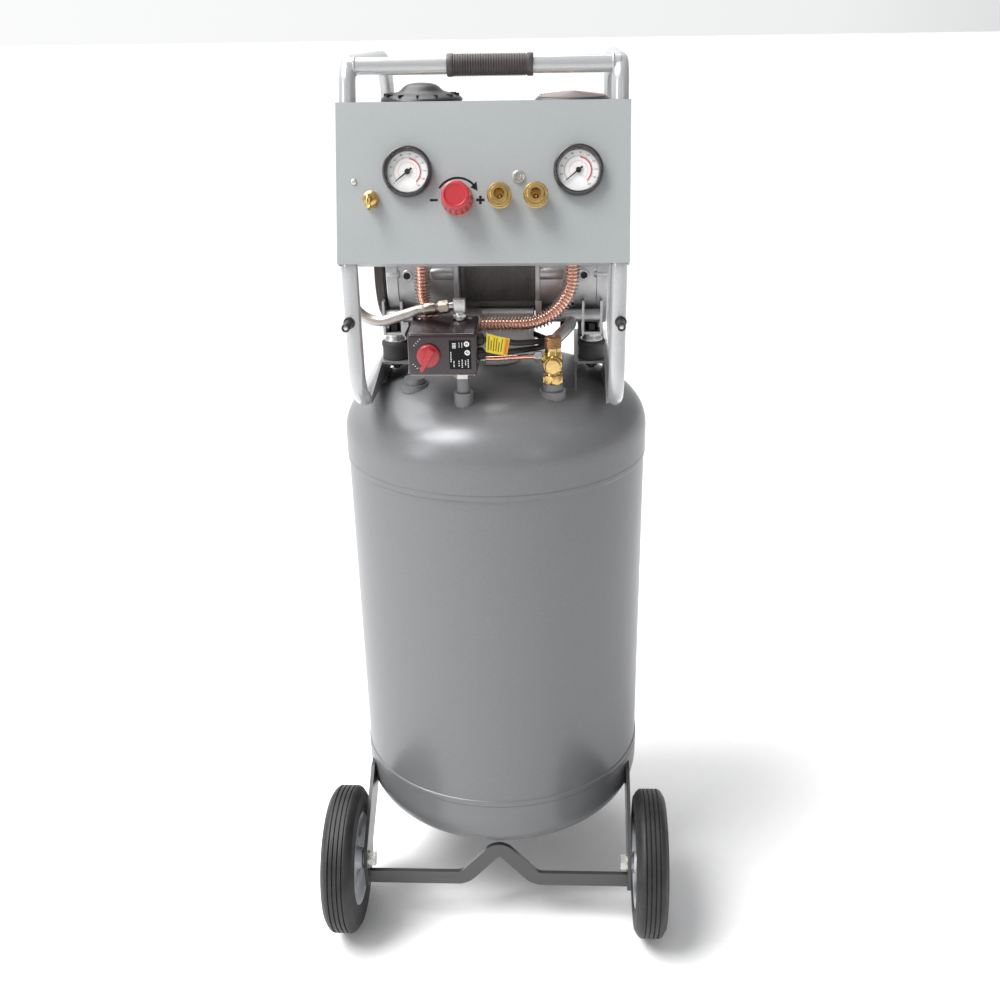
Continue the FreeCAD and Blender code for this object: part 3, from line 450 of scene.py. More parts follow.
def bevel_sharp(bm, width, angle=35.0, segments=2):
    """Rounds the edges that are sharper than an angle."""
    bm.normal_update()
    edges = [e for e in bm.edges if len(e.link_faces) == 2
             and e.calc_face_angle(0.0) > math.radians(angle)]
    bmesh.ops.bevel(bm, geom=edges, offset=width * MM, segments=segments, affect="EDGES", profile=0.5,
                    clamp_overlap=True)


def shaped_ring(place, radius_at, height, steps):
    """A ring whose radius, in millimetres, depends on the angle."""
    points = []
    for k in range(steps):
        a = 2 * math.pi * k / steps
        r = radius_at(a)
        points.append(place @ Vector((r * math.cos(a) * MM, r * math.sin(a) * MM, height * MM)))
    return points


def hex_radius(flats, limit):
    """The radius of a hexagon at an angle, no larger than a limit."""
    def radius_at(a):
        turn = (math.degrees(a) + 30) % 60 - 30
        return min(flats / 2 / math.cos(math.radians(turn)), limit)
    return radius_at


def nut(bm, place, flats, low, high):
    """Adds a hexagon about the placement's Z, with chamfered corners."""
    chamfer = min(flats * 0.07, (high - low) * 0.25)
    corner = flats * 0.58
    sections = ((flats * 0.5, low), (corner, low + chamfer), (corner, high - chamfer), (flats * 0.5, high))
    loft(bm, [shaped_ring(place, hex_radius(flats, limit), height, 36) for limit, height in sections])


def round_rings(place, profile, steps):
    """Round rings about the placement's Z, one for each (radius, height) point."""
    return [shaped_ring(place, lambda a, r=r: r, h, steps) for r, h in profile]


def turned(bm, place, profile, steps=48):
    """Adds a turned solid from (radius, height) points whose ends are near the axis."""
    loft(bm, round_rings(place, profile, steps))


def closed_turn(bm, place, profile, steps=64):
    """Adds a turned ring from a closed outline of (radius, height) points."""
    loft_ring(bm, round_rings(place, profile, steps))


def at_angle(radius, turn_deg):
    """A flat point at a radius, where angles run clockwise from straight up."""
    a = math.radians(turn_deg)
    return radius * math.sin(a), radius * math.cos(a)


def arc_band(bm, place, inner, outer, start_deg, end_deg):
    """Adds a printed band along an arc."""
    steps = max(3, int(abs(end_deg - start_deg) / 4))
    section = ((outer, 0), (outer, print_thickness), (inner, print_thickness), (inner, 0))
    turns = [start_deg + (end_deg - start_deg) * k / steps for k in range(steps + 1)]
    loft(bm, [[place @ (Vector((*at_angle(r, turn), z)) * MM) for r, z in section] for turn in turns])


def flat_bar(bm, place, centre, length, width, turn_deg, thickness=print_thickness):
    """Adds a printed bar, turned clockwise from straight up."""
    along = Vector(at_angle(length / 2, turn_deg))
    side = Vector(at_angle(width / 2, turn_deg + 90))
    middle = Vector(centre)
    outline = [middle + along * u + side * w for u, w in ((-1, -1), (-1, 1), (1, 1), (1, -1))]
    prism(bm, outline, 0, thickness, place)


def number(bm, place, body, size, centre):
    """Adds a printed number in the built-in typeface."""
    curve = bpy.data.curves.new("number", "FONT")
    curve.body = body
    curve.size = size * MM
    curve.align_x = "CENTER"
    curve.align_y = "CENTER"
    thickness = 0.05
    curve.extrude = thickness * MM / 2
    curve.resolution_u = 2
    holder = bpy.data.objects.new("number", curve)
    mesh = bpy.data.meshes.new_from_object(holder)
    mesh.transform(place @ Matrix.Translation(Vector((centre[0], centre[1], thickness / 2)) * MM))
    bm.from_mesh(mesh)
    bpy.data.objects.remove(holder)
    bpy.data.curves.remove(curve)
    bpy.data.meshes.remove(mesh)


def bent_tube_line(points, radii):
    """The centre line of a rigid tube that is bent to the given radii at its inner corners."""
    arc_steps = 16
    line = [points[0]]
    for i, radius in enumerate(radii, 1):
        back = (points[i - 1] - points[i]).normalized()
        onward = (points[i + 1] - points[i]).normalized()
        half = back.angle(onward) / 2
        reach = radius * MM / math.tan(half)
        centre = points[i] + (back + onward).normalized() * (radius * MM / math.sin(half))
        first = points[i] + back * reach - centre
        last = points[i] + onward * reach - centre
        sweep_angle = math.pi - 2 * half
        for k in range(arc_steps + 1):
            t = k / arc_steps
            point = (first * math.sin((1 - t) * sweep_angle) + last * math.sin(t * sweep_angle))
            line.append(centre + point / math.sin(sweep_angle))
    line.append(points[-1])
    return line


def evenly(line, step):
    """Resamples a line of points so that they are about step metres apart."""
    lengths = [0.0]
    for a, b in zip(line, line[1:]):
        lengths.append(lengths[-1] + (b - a).length)
    count = max(2, round(lengths[-1] / step))
    points = []
    k = 0
    for n in range(count + 1):
        target = lengths[-1] * n / count
        while k < len(line) - 2 and lengths[k + 1] < target:
            k += 1
        span = max(lengths[k + 1] - lengths[k], 1e-9)
        points.append(line[k].lerp(line[k + 1], (target - lengths[k]) / span))
    return points


# ---------------------------------------------------------------- control panel

left_gauge = (-84.0, 101.0)
right_gauge = (107.0, 101.0)
safety_valve = (-125.0, 71.0)
regulator = (-28.0, 70.0)
left_coupler = (19.5, 72.0)
right_coupler = (60.0, 72.0)
flange_screw = (40.0, 95.0)
side_screw = (-145.0, 91.0)
dial_top = 2.3
scale_zero = -129.0       # degrees clockwise from straight up
scale_sweep = 270.0


def gauge_bezels():
    bm = bmesh.new()
    for spot in (left_gauge, right_gauge):
        place = panel_place(spot)
        profile = [(24.6, -24), (24.9, 0), (27.4, 0.05), (28, 0.7), (28.1, 3), (28, 6.5), (27.4, 9.2),
                   (26.4, 10.7), (25.3, 11.2), (24.4, 10.9), (23.9, 10.1), (23.6, 8.9), (23.2, 7.9),
                   (22.7, 5), (22.4, 2.5), (22.4, -21), (2, -21), (2, -24)]
        closed_turn(bm, place, profile, 96)
    piece = new_piece("gauge_bezels", bm, "gauge_plastic", smooth=50)
    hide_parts("gauge_cases")


def scale_turns(steps):
    """Each step of a gauge's scale with its angle."""
    return [(k, scale_zero + scale_sweep * k / steps) for k in range(steps + 1)]


def gauge_scale(side, spot):
    """The black outer scale and the smaller red one, with their numbers."""
    place = panel_place(spot, dial_top)
    scale_end = scale_zero + scale_sweep
    black = bmesh.new()
    for k, turn in scale_turns(50):
        radius, length, width = (16.3, 1.8, 0.36) if k % 5 == 0 else (16.0, 1.2, 0.2)
        flat_bar(black, place, at_angle(radius, turn), length, width, turn)
    arc_band(black, place, 15.3, 15.5, scale_zero, scale_end)
    for k, turn in scale_turns(10):
        number(black, place, str(20 * k), 3.1 if k < 5 else 2.7, at_angle(19.4, turn))
    new_piece(side + "_gauge_scale", black, "print_black", smooth=10)
    red = bmesh.new()
    arc_band(red, place, 13.7, 15.1, 7, 138)
    arc_band(red, place, 10.6, 10.8, scale_zero, scale_end)
    for _, turn in scale_turns(40):
        flat_bar(red, place, at_angle(10.1, turn), 0.9, 0.18, turn)
    for k, turn in scale_turns(14)[::2]:
        number(red, place, str(k), 1.7, at_angle(8.2, turn))
    new_piece(side + "_gauge_red_scale", red, "print_red", smooth=10)


def panel_print():
    """The arrow over the regulator's knob, with its minus and plus signs."""
    bm = bmesh.new()
    place = panel_place(regulator)
    arc_band(bm, place, 23.2, 25.6, -58, 50)
    head = [at_angle(radius, turn) for radius, turn in ((24.5, 66), (29.4, 46), (19.9, 46))]
    prism(bm, head, 0, print_thickness, place)
    flat_bar(bm, place, (-26.8, 0.2), 9.0, 2.6, 90)
    flat_bar(bm, place, (25.5, 0), 9.4, 3.0, 90)
    flat_bar(bm, place, (25.5, 0), 9.4, 3.0, 0, print_thickness * 1.2)
    new_piece("panel_print", bm, "print_black", smooth=10)


def regulator_knob():
    """A red cap with a fluted skirt and a dished top, over a thin brass ring."""
    place = panel_place(regulator)
    flutes = 16

    def radius_of(base, depth):
        return lambda a: base - depth * (0.5 + 0.5 * math.cos(flutes * a)) ** 3

    sections = [(16.6, 0, 4.2), (17.6, 0, 4.6), (18.0, 0, 5.4), (18.0, 0.2, 6.6), (17.8, 1.6, 8.2),
                (17.3, 2.0, 12), (16.9, 1.9, 17), (16.5, 1.5, 21), (16.2, 0.8, 24), (16.0, 0.1, 26.5),
                (15.7, 0, 28.6), (15.0, 0, 30.1), (13.9, 0, 30.9), (12.6, 0, 31.0), (12.0, 0, 30.4),
                (11.4, 0, 29.7), (6, 0, 29.5), (1.5, 0, 29.5)]
    bm = bmesh.new()
    loft(bm, [shaped_ring(place, radius_of(base, depth), height, 128) for base, depth, height in sections])
    cap = new_piece("regulator_cap", bm, "red_plastic", "regulator_knob", smooth=40)
    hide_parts("regulator_knob")
    bm = bmesh.new()
    closed_turn(bm, place, [(9.6, 0.1), (16.8, 0.1), (17.4, 0.7), (17.4, 2.0), (16.8, 2.6), (9.6, 2.6)], 96)
    new_piece("regulator_ring", bm, "brass")


def coupler_sleeves():
    for side, spot in (("left", left_coupler), ("right", right_coupler)):
        place = panel_place(spot)
        teeth = 40

        def knurl(base, depth):
            return lambda a: base - depth * abs(math.sin(teeth * a / 2))

        outline = [(10.1, 0, 7), (12.4, 0, 7), (13.3, 0, 7.5), (13.6, 0, 8.4), (13.6, 0, 9.2),
                   (13.6, 0.5, 9.5), (13.6, 0.5, 12.3), (13.4, 0, 12.7), (12.5, 0, 13.1), (12.4, 0, 14.9),
                   (13.3, 0, 15.4), (13.6, 0.5, 15.8), (13.6, 0.5, 18.4), (13.6, 0, 18.8), (13.4, 0, 20.2),
                   (12.7, 0, 21.2), (11.6, 0, 21.5), (10.1, 0, 21.5)]
        bm = bmesh.new()
        loft_ring(bm, [shaped_ring(place, knurl(base, depth), height, 160) for base, depth,
                       height in outline])
        sleeve = new_piece(side + "_coupler_grip", bm, "brass", side + "_coupler_sleeve", smooth=30)
        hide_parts(side + "_coupler_sleeve")
        bm = bmesh.new()
        turned(bm, place, [(0.4, 2), (3.6, 2), (3.6, 3.4), (2.3, 4.2), (2.1, 6.5), (1.5, 7.4), (0.3, 7.6)],
               32)
        new_piece(side + "_coupler_poppet", bm, "brass")


def panel_screws():
    """A flanged screw with a hexagon socket, and a small domed screw with a cross recess."""
    bm = bmesh.new()
    place = panel_place(flange_screw)
    flange = [(0.5, 0.05), (7.0, 0.05), (7.4, 0.5), (7.2, 1.1), (5.2, 1.6)]
    hexagon = [shaped_ring(place, hex_radius(9.4, limit), h, 36) for limit,
               h in ((5.4, 1.7), (5.4, 4.2), (4.7, 4.8))]
    loft(bm, round_rings(place, flange, 36) + hexagon + round_rings(place, [(2.9, 4.8), (2.4, 3.6)], 36))
    place = panel_place(side_screw)
    turned(bm, place, [(0.5, 0.02), (3.4, 0.02), (3.5, 0.5), (3.1, 1.2), (2.2, 1.8), (1.3, 2.0), (1.1, 1.4),
                       (0.3, 1.2)],
           32)
    piece = new_piece("panel_screw_heads", bm, "zinc_steel", smooth=30)
    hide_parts("panel_screws")


# ---------------------------------------------------------------- pressure switch and its pipes

switch_left = -94.0
switch_right = -12.0
switch_front = -156.0
switch_back = -96.0
switch_bottom = 803.0
knob_x = -69.0
knob_z = 828.0
switch_top_slope = 9.0 / 60.0
elbow = (-35.0, -106.0, 876.5)
elbow_way = Vector((-49, 4, -7)).normalized()
hose_port = P(-121, 81, -40)
label = (-31.5, 828.5)
valve = (78.0, -104.0)
valve_cross_z = 805.0
head_port_z = 1056.0
left_port_x = -86.0
joiner_port_x = 72.0
right_port_x = 101.0


def switch_top_at(y):
    return 853.0 + (y - switch_front) * switch_top_slope


def switch_cover():
    """A rounded box whose top slopes up towards the back, with two screws."""
    bm = bmesh.new()
    outline = [(switch_front, switch_bottom), (switch_back, switch_bottom),
               (switch_back, switch_top_at(switch_back)), (switch_front, switch_top_at(switch_front))]
    prism(bm, outline, switch_left, switch_right, frame_at(T(0, 0, 0), (1, 0, 0), Vector((0, 1, 0))))
    bevel_sharp(bm, 4.0, 18, 5)
    shell = new_piece("switch_shell", bm, "switch_plastic", smooth=60)
    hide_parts("switch_cover")
    bm = bmesh.new()
    y = switch_back - 9
    for x in (switch_left + 11, switch_right - 11):
        place = frame_at(T(x, y, switch_top_at(y)), (0, -switch_top_slope, 1))
        turned(bm, place, [(0.3, -1.4), (3.4, -1.4), (3.4, -0.2), (2.6, 0.5), (1.2, 0.6), (1.0, -0.4),
                           (0.2, -0.5)], 24)
    new_piece("switch_cover_screws", bm, "zinc_steel")


def switch_face(x, z, lift=0.0):
    """A placement on the switch's front face: local X across, local Y up."""
    return frame_at(T(x, switch_front - lift, z), (0, -1, 0))


def switch_label():
    """A black label with a few generic white marks, and two marks beside the knob."""
    bm = bmesh.new()
    place = switch_face(*label)
    prism(bm, [(-13, -17.5), (13, -17.5), (13, 17.5), (-13, 17.5)], 0.0, 0.35, place)
    bevel_sharp(bm, 0.6, 60, 2)
    new_piece("switch_label", bm, "print_black", smooth=30)
    bm = bmesh.new()
    place = switch_face(*label, 0.35)
    for x, z in ((8, 13), (8.5, 2.5)):
        arc_band(bm, place @ Matrix.Translation(Vector((x, z, 0)) * MM), 1.7, 3.2, 0, 356)
    flat_bar(bm, place, (8, 12.6), 3, 0.9, 0, print_thickness * 1.4)
    flat_bar(bm, place, (8.5, 2.5), 3, 1.0, 35, print_thickness * 1.4)
    for row in range(4):
        flat_bar(bm, place, (-7, 13.6 - 1.7 * row), 4.4, 0.9, 90)
    for x, low, high in ((-11.0, -9, 4), (-1.6, -14.5, -6.5), (2.2, -16, -5.5), (6.2, -13, -6.5),
                         (9.4, -16, -5)):
        steps = max(2, int((high - low) / 2.1))
        for k in range(steps):
            flat_bar(bm, place, (x, low + (high - low) * (k + 0.5) / steps), 1.3, 1.2, 0)
    for k in range(3):
        flat_bar(bm, place, (-1.0, 14 - 2.2 * k), 1.6, 0.7, 0)
        flat_bar(bm, place, (2.4, 14 - 2.2 * k), 1.6, 0.7, 0)
    for z in (-9.0, -13.2):
        flat_bar(bm, place, (-7.6, z), 3.2, 0.9, 0)
    for x, z, count, turn in ((-86, 840, 4, 45), (-88, 817, 3, -45)):
        for k in range(count):
            across_mark = 2.4 * k
            rise = across_mark if turn > 0 else -across_mark
            flat_bar(bm, switch_face(x + across_mark, z + rise), (0, 0), 1.9, 0.6, -turn)
    new_piece("switch_marks", bm, "print_white", smooth=10)


def switch_dial():
    """A red disc with a raised tapered bar, whose narrow end passes the disc's edge."""
    place = switch_face(knob_x, knob_z)
    bm = bmesh.new()
    turned(bm, place, [(1, 0.6), (13.2, 0.6), (13.9, 1.2), (14.0, 3.4), (13.6, 5.2), (12.9, 6.4), (11.8, 7.1),
                       (6, 7.5), (1, 7.5)], 72)
    turn = math.radians(-30)
    outline = [(-4.8, -12.2), (4.8, -12.2), (2.4, 18.5), (0, 20.3), (-2.4, 18.5)]
    spun = [(x * math.cos(turn) + y * math.sin(turn), x * math.sin(turn) - y * math.cos(turn)) for x,
            y in outline]
    loft(bm, [[place @ (Vector((x, y, 6.2)) * MM) for x, y in spun],
              [place @ (Vector((x * 0.8, y * 0.94, 15.4)) * MM) for x, y in spun]])
    bmesh.ops.recalc_face_normals(bm, faces=bm.faces)
    bevel_sharp(bm, 1.0, 38, 3)
    piece = new_piece("switch_dial", bm, "red_plastic", "switch_knob", smooth=45)
    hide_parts("switch_knob")


def hose_end_profile(low, high):
    """A crimped ferrule: a lip, a neck and a long sleeve."""
    return [(0.5, low), (6.6, low), (7.0, low + 0.8), (6.2, low + 1.8), (6.2, low + 2.8), (7.6, low + 3.8),
            (7.9, low + 4.8), (7.9, high - 2.6), (7.4, high - 1.0), (6.7, high), (0.5, high)]


def switch_elbow():
    """The square elbow on the switch, its swivel nut, and the hose's crimped ends."""
    up = frame_at(T(elbow[0], elbow[1], 0), (0, 0, 1))
    aside = frame_at(T(*elbow), elbow_way, Vector((0, 1, 0)))
    top = switch_top_at(elbow[1])
    bm = bmesh.new()
    nut(bm, up, 15.5, top + 0.4, top + 6.6)
    turned(bm, up, [(0.5, 845.5), (6.2, 845.5), (6.2, 870), (0.5, 870)], 32)
    side = 7.5
    corner = 2.0
    square = [(-side, -side + corner), (-side + corner, -side), (side - corner, -side),
              (side, -side + corner), (side, side - corner), (side - corner, side), (-side + corner, side),
              (-side, side - corner)]
    prism(bm, square, elbow[2] - side, elbow[2] + side, up)
    turned(bm, aside, [(0.5, 6), (5.0, 6), (5.0, 13.6), (0.5, 13.6)], 32)
    bevel_sharp(bm, 0.5, 40, 2)
    body = new_piece("elbow_body", bm, "nut_grey", smooth=32)
    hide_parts("hose_fittings")
    bm = bmesh.new()
    nut(bm, aside, 14, 13, 25.4)
    turned(bm, aside, hose_end_profile(25.2, 44.3), 48)
    new_piece("hose_swivel", bm, "swivel_steel", smooth=32)
    upright = frame_at(hose_port, (0, 0, 1))
    bm = bmesh.new()
    nut(bm, upright, 15.8, 0.2, 8.2)
    turned(bm, upright, hose_end_profile(8, 24.2), 48)
    new_piece("hose_top_fitting", bm, "pipe_steel", smooth=32)


def braided_hose():
    """Flat strands woven round a dark brown core, along the hose's route; the core's brown is a painted
    reflection of brown surroundings.
    """
    begin = Vector(elbow) + elbow_way * 43.5
    above = hose_port + Vector((0, 0, 58)) * MM
    loop_start = T(-158, -62, 0)
    loop_start.z = above.z
    corners = [T(*begin), T(*(begin + elbow_way * 8.5)), T(-142, -99.5, 851.5), T(-168, -97, 874),
               T(-166, -88, 945), loop_start, above, hose_port + Vector((0, 0, 23.5)) * MM]
    path = evenly(bent_tube_line(corners, [40, 36, 29, 90, 30, 30]), 0.0020)
    bm = bmesh.new()
    sweep(bm, path, [5.85 * MM] * len(path), 20)
    # The core's brown colour is painted reflection.
    core = new_piece("hose_core_painted_reflection", bm, "braid_core", smooth=60)
    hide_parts("braided_hose")
    frames = carried_frames(path)
    strands = 12
    pitch = 0.046
    half_width = 0.00068
    bm = bmesh.new()
    travelled = [0.0]
    for a, b in zip(path, path[1:]):
        travelled.append(travelled[-1] + (b - a).length)
    for hand in (-1, 1):
        for s in range(strands):
            rows = []
            for (point, along, u, v), d in zip(frames, travelled):
                a = hand * 2 * math.pi * d / pitch + 2 * math.pi * s / strands
                weave = math.cos(strands * a + (0 if hand > 0 else math.pi))
                r = (6.05 + 0.22 * weave) * MM
                out = u * math.cos(a) + v * math.sin(a)
                sideways = (v * math.cos(a) - u * math.sin(a)) * hand
                edge = (sideways * 0.72 - along * 0.69).normalized() * half_width
                centre = point + out * r
                rows.append([bm.verts.new(centre - edge), bm.verts.new(centre + out * 0.0003),
                             bm.verts.new(centre + edge)])
            for a_row, b_row in zip(rows, rows[1:]):
                for k in range(2):
                    face = (a_row[k], a_row[k + 1], b_row[k + 1], b_row[k])
                    bm.faces.new(face if hand > 0 else face[::-1])
    new_piece("hose_braid", bm, "braid_steel", smooth=80)


def tube_with_fins(core_bm, fin_bm, path, pitch):
    """Adds a wavy core and thin flat fins at a pitch along it."""
    core = 6.2 * MM
    collar = 7.1 * MM
    fin = 9.9 * MM
    thin = 0.13 * MM
    steps = 20
    frames = carried_frames(evenly(path, pitch * MM / 4))

    loft(core_bm, [ring_round(point, u, v, collar if k % 4 == 1 else core, steps)
                   for k, (point, _, u, v) in enumerate(frames)])
    for point, along, u, v in frames[1::4]:
        loft_ring(fin_bm, [ring_round(point + along * offset, u, v, radius, steps)
                           for offset, radius in ((-thin, core), (-thin, fin), (thin, fin), (thin, core))])


def finned_tubes():
    """The tubes from the two cylinder heads to the collector, and the joiner between the heads."""
    port_y = -20
    left_y = -52
    right_y = -79
    right = [T(right_port_x, port_y, head_port_z), T(right_port_x, right_y, head_port_z),
             T(right_port_x, right_y, 846), T(-12, right_y, 846)]
    left = [T(left_port_x, port_y, head_port_z), T(left_port_x, left_y, head_port_z),
            T(left_port_x, left_y, 841), T(-32, left_y, 841)]
    joiner = [T(-12, left_y, 841), T(right_port_x, left_y, 841), T(right_port_x, left_y, 1002),
              T(joiner_port_x, left_y, 1026), T(joiner_port_x, left_y, head_port_z),
              T(joiner_port_x, port_y, head_port_z)]
    core_bm = bmesh.new()
    fin_bm = bmesh.new()
    for corners, radii in ((right, [30, 62]), (left, [22, 40]), (joiner, [62, 20, 20, 16])):
        tube_with_fins(core_bm, fin_bm, bent_tube_line(corners, radii), 4.2)
    piece = new_piece("tube_cores", core_bm, "copper", smooth=60)
    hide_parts("finned_tubes")
    new_piece("tube_fins", fin_bm, "copper_fins", smooth=30)


def check_valve():
    """A brass tee with a hexagon plug in front, on a spud, under a threaded collar."""
    base = frame_at(T(*valve, 0), (0, 0, 1))
    front = frame_at(T(*valve, valve_cross_z), (0, -1, 0))
    bm = bmesh.new()
    nut(bm, base, 24, 779.2, 790)
    turned(bm, base, [(1, 789), (9.8, 789), (10.2, 790.5), (9.4, 792.5), (9.6, 795), (11.4, 798), (12, 803),
                      (12, 810), (11.4, 815), (10.2, 818), (9.6, 820), (9.6, 823.4), (1, 823.4)], 56)
    turned(bm, front, [(1, -6), (11.6, -6), (11.9, 6), (11.4, 10), (11.4, 12.4), (1, 12.4)], 56)
    nut(bm, front, 21.5, 12.6, 19.5)
    turned(bm, front, [(1, 19.2), (9.6, 19.2), (9.9, 20.2), (9.6, 22.4), (8.4, 23.6), (1, 23.8)], 56)
    side_way = frame_at(T(*valve, valve_cross_z), (-13, 0, 7))
    turned(bm, side_way, [(1, 0), (6.6, 0), (6.6, 12.2), (5.8, 13.2), (5.8, 15), (1, 15)], 36)
    piece = new_piece("check_valve_body", bm, "brass", smooth=30)
    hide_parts("check_valve")
    bm = bmesh.new()
    outline = [(1, 823)]
    for k in range(7):
        z = 823.4 + 1.85 * k
        outline += [(9.7, z), (10.4, z + 0.6), (10.4, z + 1.1), (9.7, z + 1.75)]
    outline += [(9.2, 837), (1, 837)]
    turned(bm, base, outline, 56)
    new_piece("check_valve_collar", bm, "brown_fitting", smooth=30)


tag_corners = ((-2.9, 825.3), (22.5, 818.4), (26.4, 838.8), (-1.2, 848.1))


def tag_point(u, w, lift=0.0):
    """A point on the tag: u across from 0 to 1, w up from 0 to 1, lift forward in millimetres."""
    low_left, low_right, high_right, high_left = (Vector(c) for c in tag_corners)
    spot = low_left.lerp(low_right, u).lerp(high_left.lerp(high_right, u), w)
    bulge = 2.6 * math.cos(2.6 * (u - 0.5))
    return T(spot.x, -130 + 0.36 * (spot.x + 3) - bulge - lift, spot.y)


def tag_patch(bm, u_range, w_range, low, high, columns=12, rows=4):
    """Adds a thin curved sheet over part of the tag, between two lifts."""
    widths = [u_range[0] + (u_range[1] - u_range[0]) * i / columns for i in range(columns + 1)]
    heights = [w_range[0] + (w_range[1] - w_range[0]) * j / rows for j in range(rows + 1)]
    section = [(w, low) for w in heights] + [(w, high) for w in heights[::-1]]
    loft(bm, [[tag_point(u, w, lift) for w, lift in section] for u in widths])


def lead_tag():
    """A printed tag round the two leads beside the switch, with generic lines and an orange end."""
    bm = bmesh.new()
    tag_patch(bm, (0, 1), (0, 1), 0.0, 0.4)
    new_piece("lead_tag", bm, "tag_yellow", smooth=60)
    bm = bmesh.new()
    for k in range(6):
        low = 0.12 + 0.05 * (k % 2)
        tag_patch(bm, (0.10 + 0.115 * k, 0.13 + 0.115 * k), (low, 0.88 - 0.2 * (k % 3 == 1)), 0.3, 0.55, 1, 4)
    new_piece("lead_tag_lines", bm, "print_black", smooth=10)
    bm = bmesh.new()
    tag_patch(bm, (0.82, 0.97), (0.05, 0.95), 0.3, 0.5, 3, 4)
    new_piece("lead_tag_band", bm, "print_orange", smooth=10)


def tube_nuts():
    """Compression nuts where the unloader tube meets the valve and the switch, and at the pump's ports."""
    bm = bmesh.new()
    valve_side = frame_at(T(65, -104, 812), (-1, 0, 0))
    nut(bm, valve_side, 12.6, 0.2, 9.2)
    turned(bm, valve_side, [(0.5, 9), (4.6, 9), (4.0, 11), (0.5, 11)], 28)
    switch_side = frame_at(T(-4, -110, 811.5), (-1, 0, 0))
    nut(bm, switch_side, 12, 0.2, 7.4)
    for x in (left_port_x, joiner_port_x, right_port_x):
        port = frame_at(T(x, -10, head_port_z), (0, -1, 0))
        nut(bm, port, 19, 0.2, 9.8)
        turned(bm, port, [(0.5, 9), (8, 9), (7, 12.5), (0.5, 12.5)], 32)
    place = frame_at(T(-22, -66, 0), (0, 0, 1))
    prism(bm, [(-10, -26), (10, -26), (10, 26), (-10, 26)], 828.2, 857.8, place)
    bevel_sharp(bm, 0.6, 40, 2)
    piece = new_piece("tube_nuts", bm, "nut_grey", smooth=30)
    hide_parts("tube_fittings")


def gland_nuts():
    bm = bmesh.new()
    for y, z in ((-124.0, 839.0), (-126.0, 822.0)):
        place = frame_at(T(-12, y, z), (1, 0, 0))

        def ribs(base, depth):
            return lambda a: base - depth * (math.cos(12 * a) > 0.2)

        sections = [(4.0, 0, 0.1), (7.8, 0, 0.1), (7.9, 0, 1.4), (7.9, 0.6, 1.8), (7.4, 0.6, 4.6),
                    (6.4, 0, 6.2), (5.2, 0, 7.2), (4.0, 0, 7.4)]
        loft_ring(bm, [shaped_ring(place, ribs(b, d), h, 72) for b, d, h in sections])
    piece = new_piece("gland_nuts", bm, "black_plastic", smooth=30)
    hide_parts("cable_glands")


# ---------------------------------------------------------------- motor and pump

pump = (7.0, 38.0, 900.0)
stator_half = 48.0
crankcase_radius = 75.0
crankcase_end = 140.0
cylinder_reach = 93.5
head_top_z = 1070.0


def along_shaft(x, outward_x=1):
    """A placement on the shaft's axis, whose Z points along X."""
    return frame_at(T(pump[0] + x, pump[1], pump[2]), (outward_x, 0, 0), Vector((0, 0, 1)))


def motor_stator():
    """A stack of laminations with a smooth band at each end."""
    bm = bmesh.new()
    place = along_shaft(0)
    profile = [(36, -stator_half), (61, -stator_half), (62, -stator_half + 1), (62, -stator_half + 5)]
    x = -stator_half + 6.0
    while x < stator_half - 6.0:
        profile += [(61.5, x), (62, x + 0.4), (62, x + 1.2), (61.5, x + 1.6)]
        x += 2.0
    profile += [(62, stator_half - 5), (62, stator_half - 1), (61, stator_half), (36, stator_half)]
    closed_turn(bm, place, profile, 96)
    for k in range(4):
        a = math.radians(45 + 90 * k)
        spot = T(pump[0] - stator_half, pump[1] + 61 * math.cos(a), pump[2] + 61 * math.sin(a))
        bar = frame_at(spot, (1, 0, 0))
        turned(bm, bar, [(1, 0), (5.4, 0), (5.8, 1), (5.8, 95), (5.4, 96), (1, 96)], 20)
    piece = new_piece("stator_stack", bm, "motor_black", smooth=35)
    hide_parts("motor_stator")


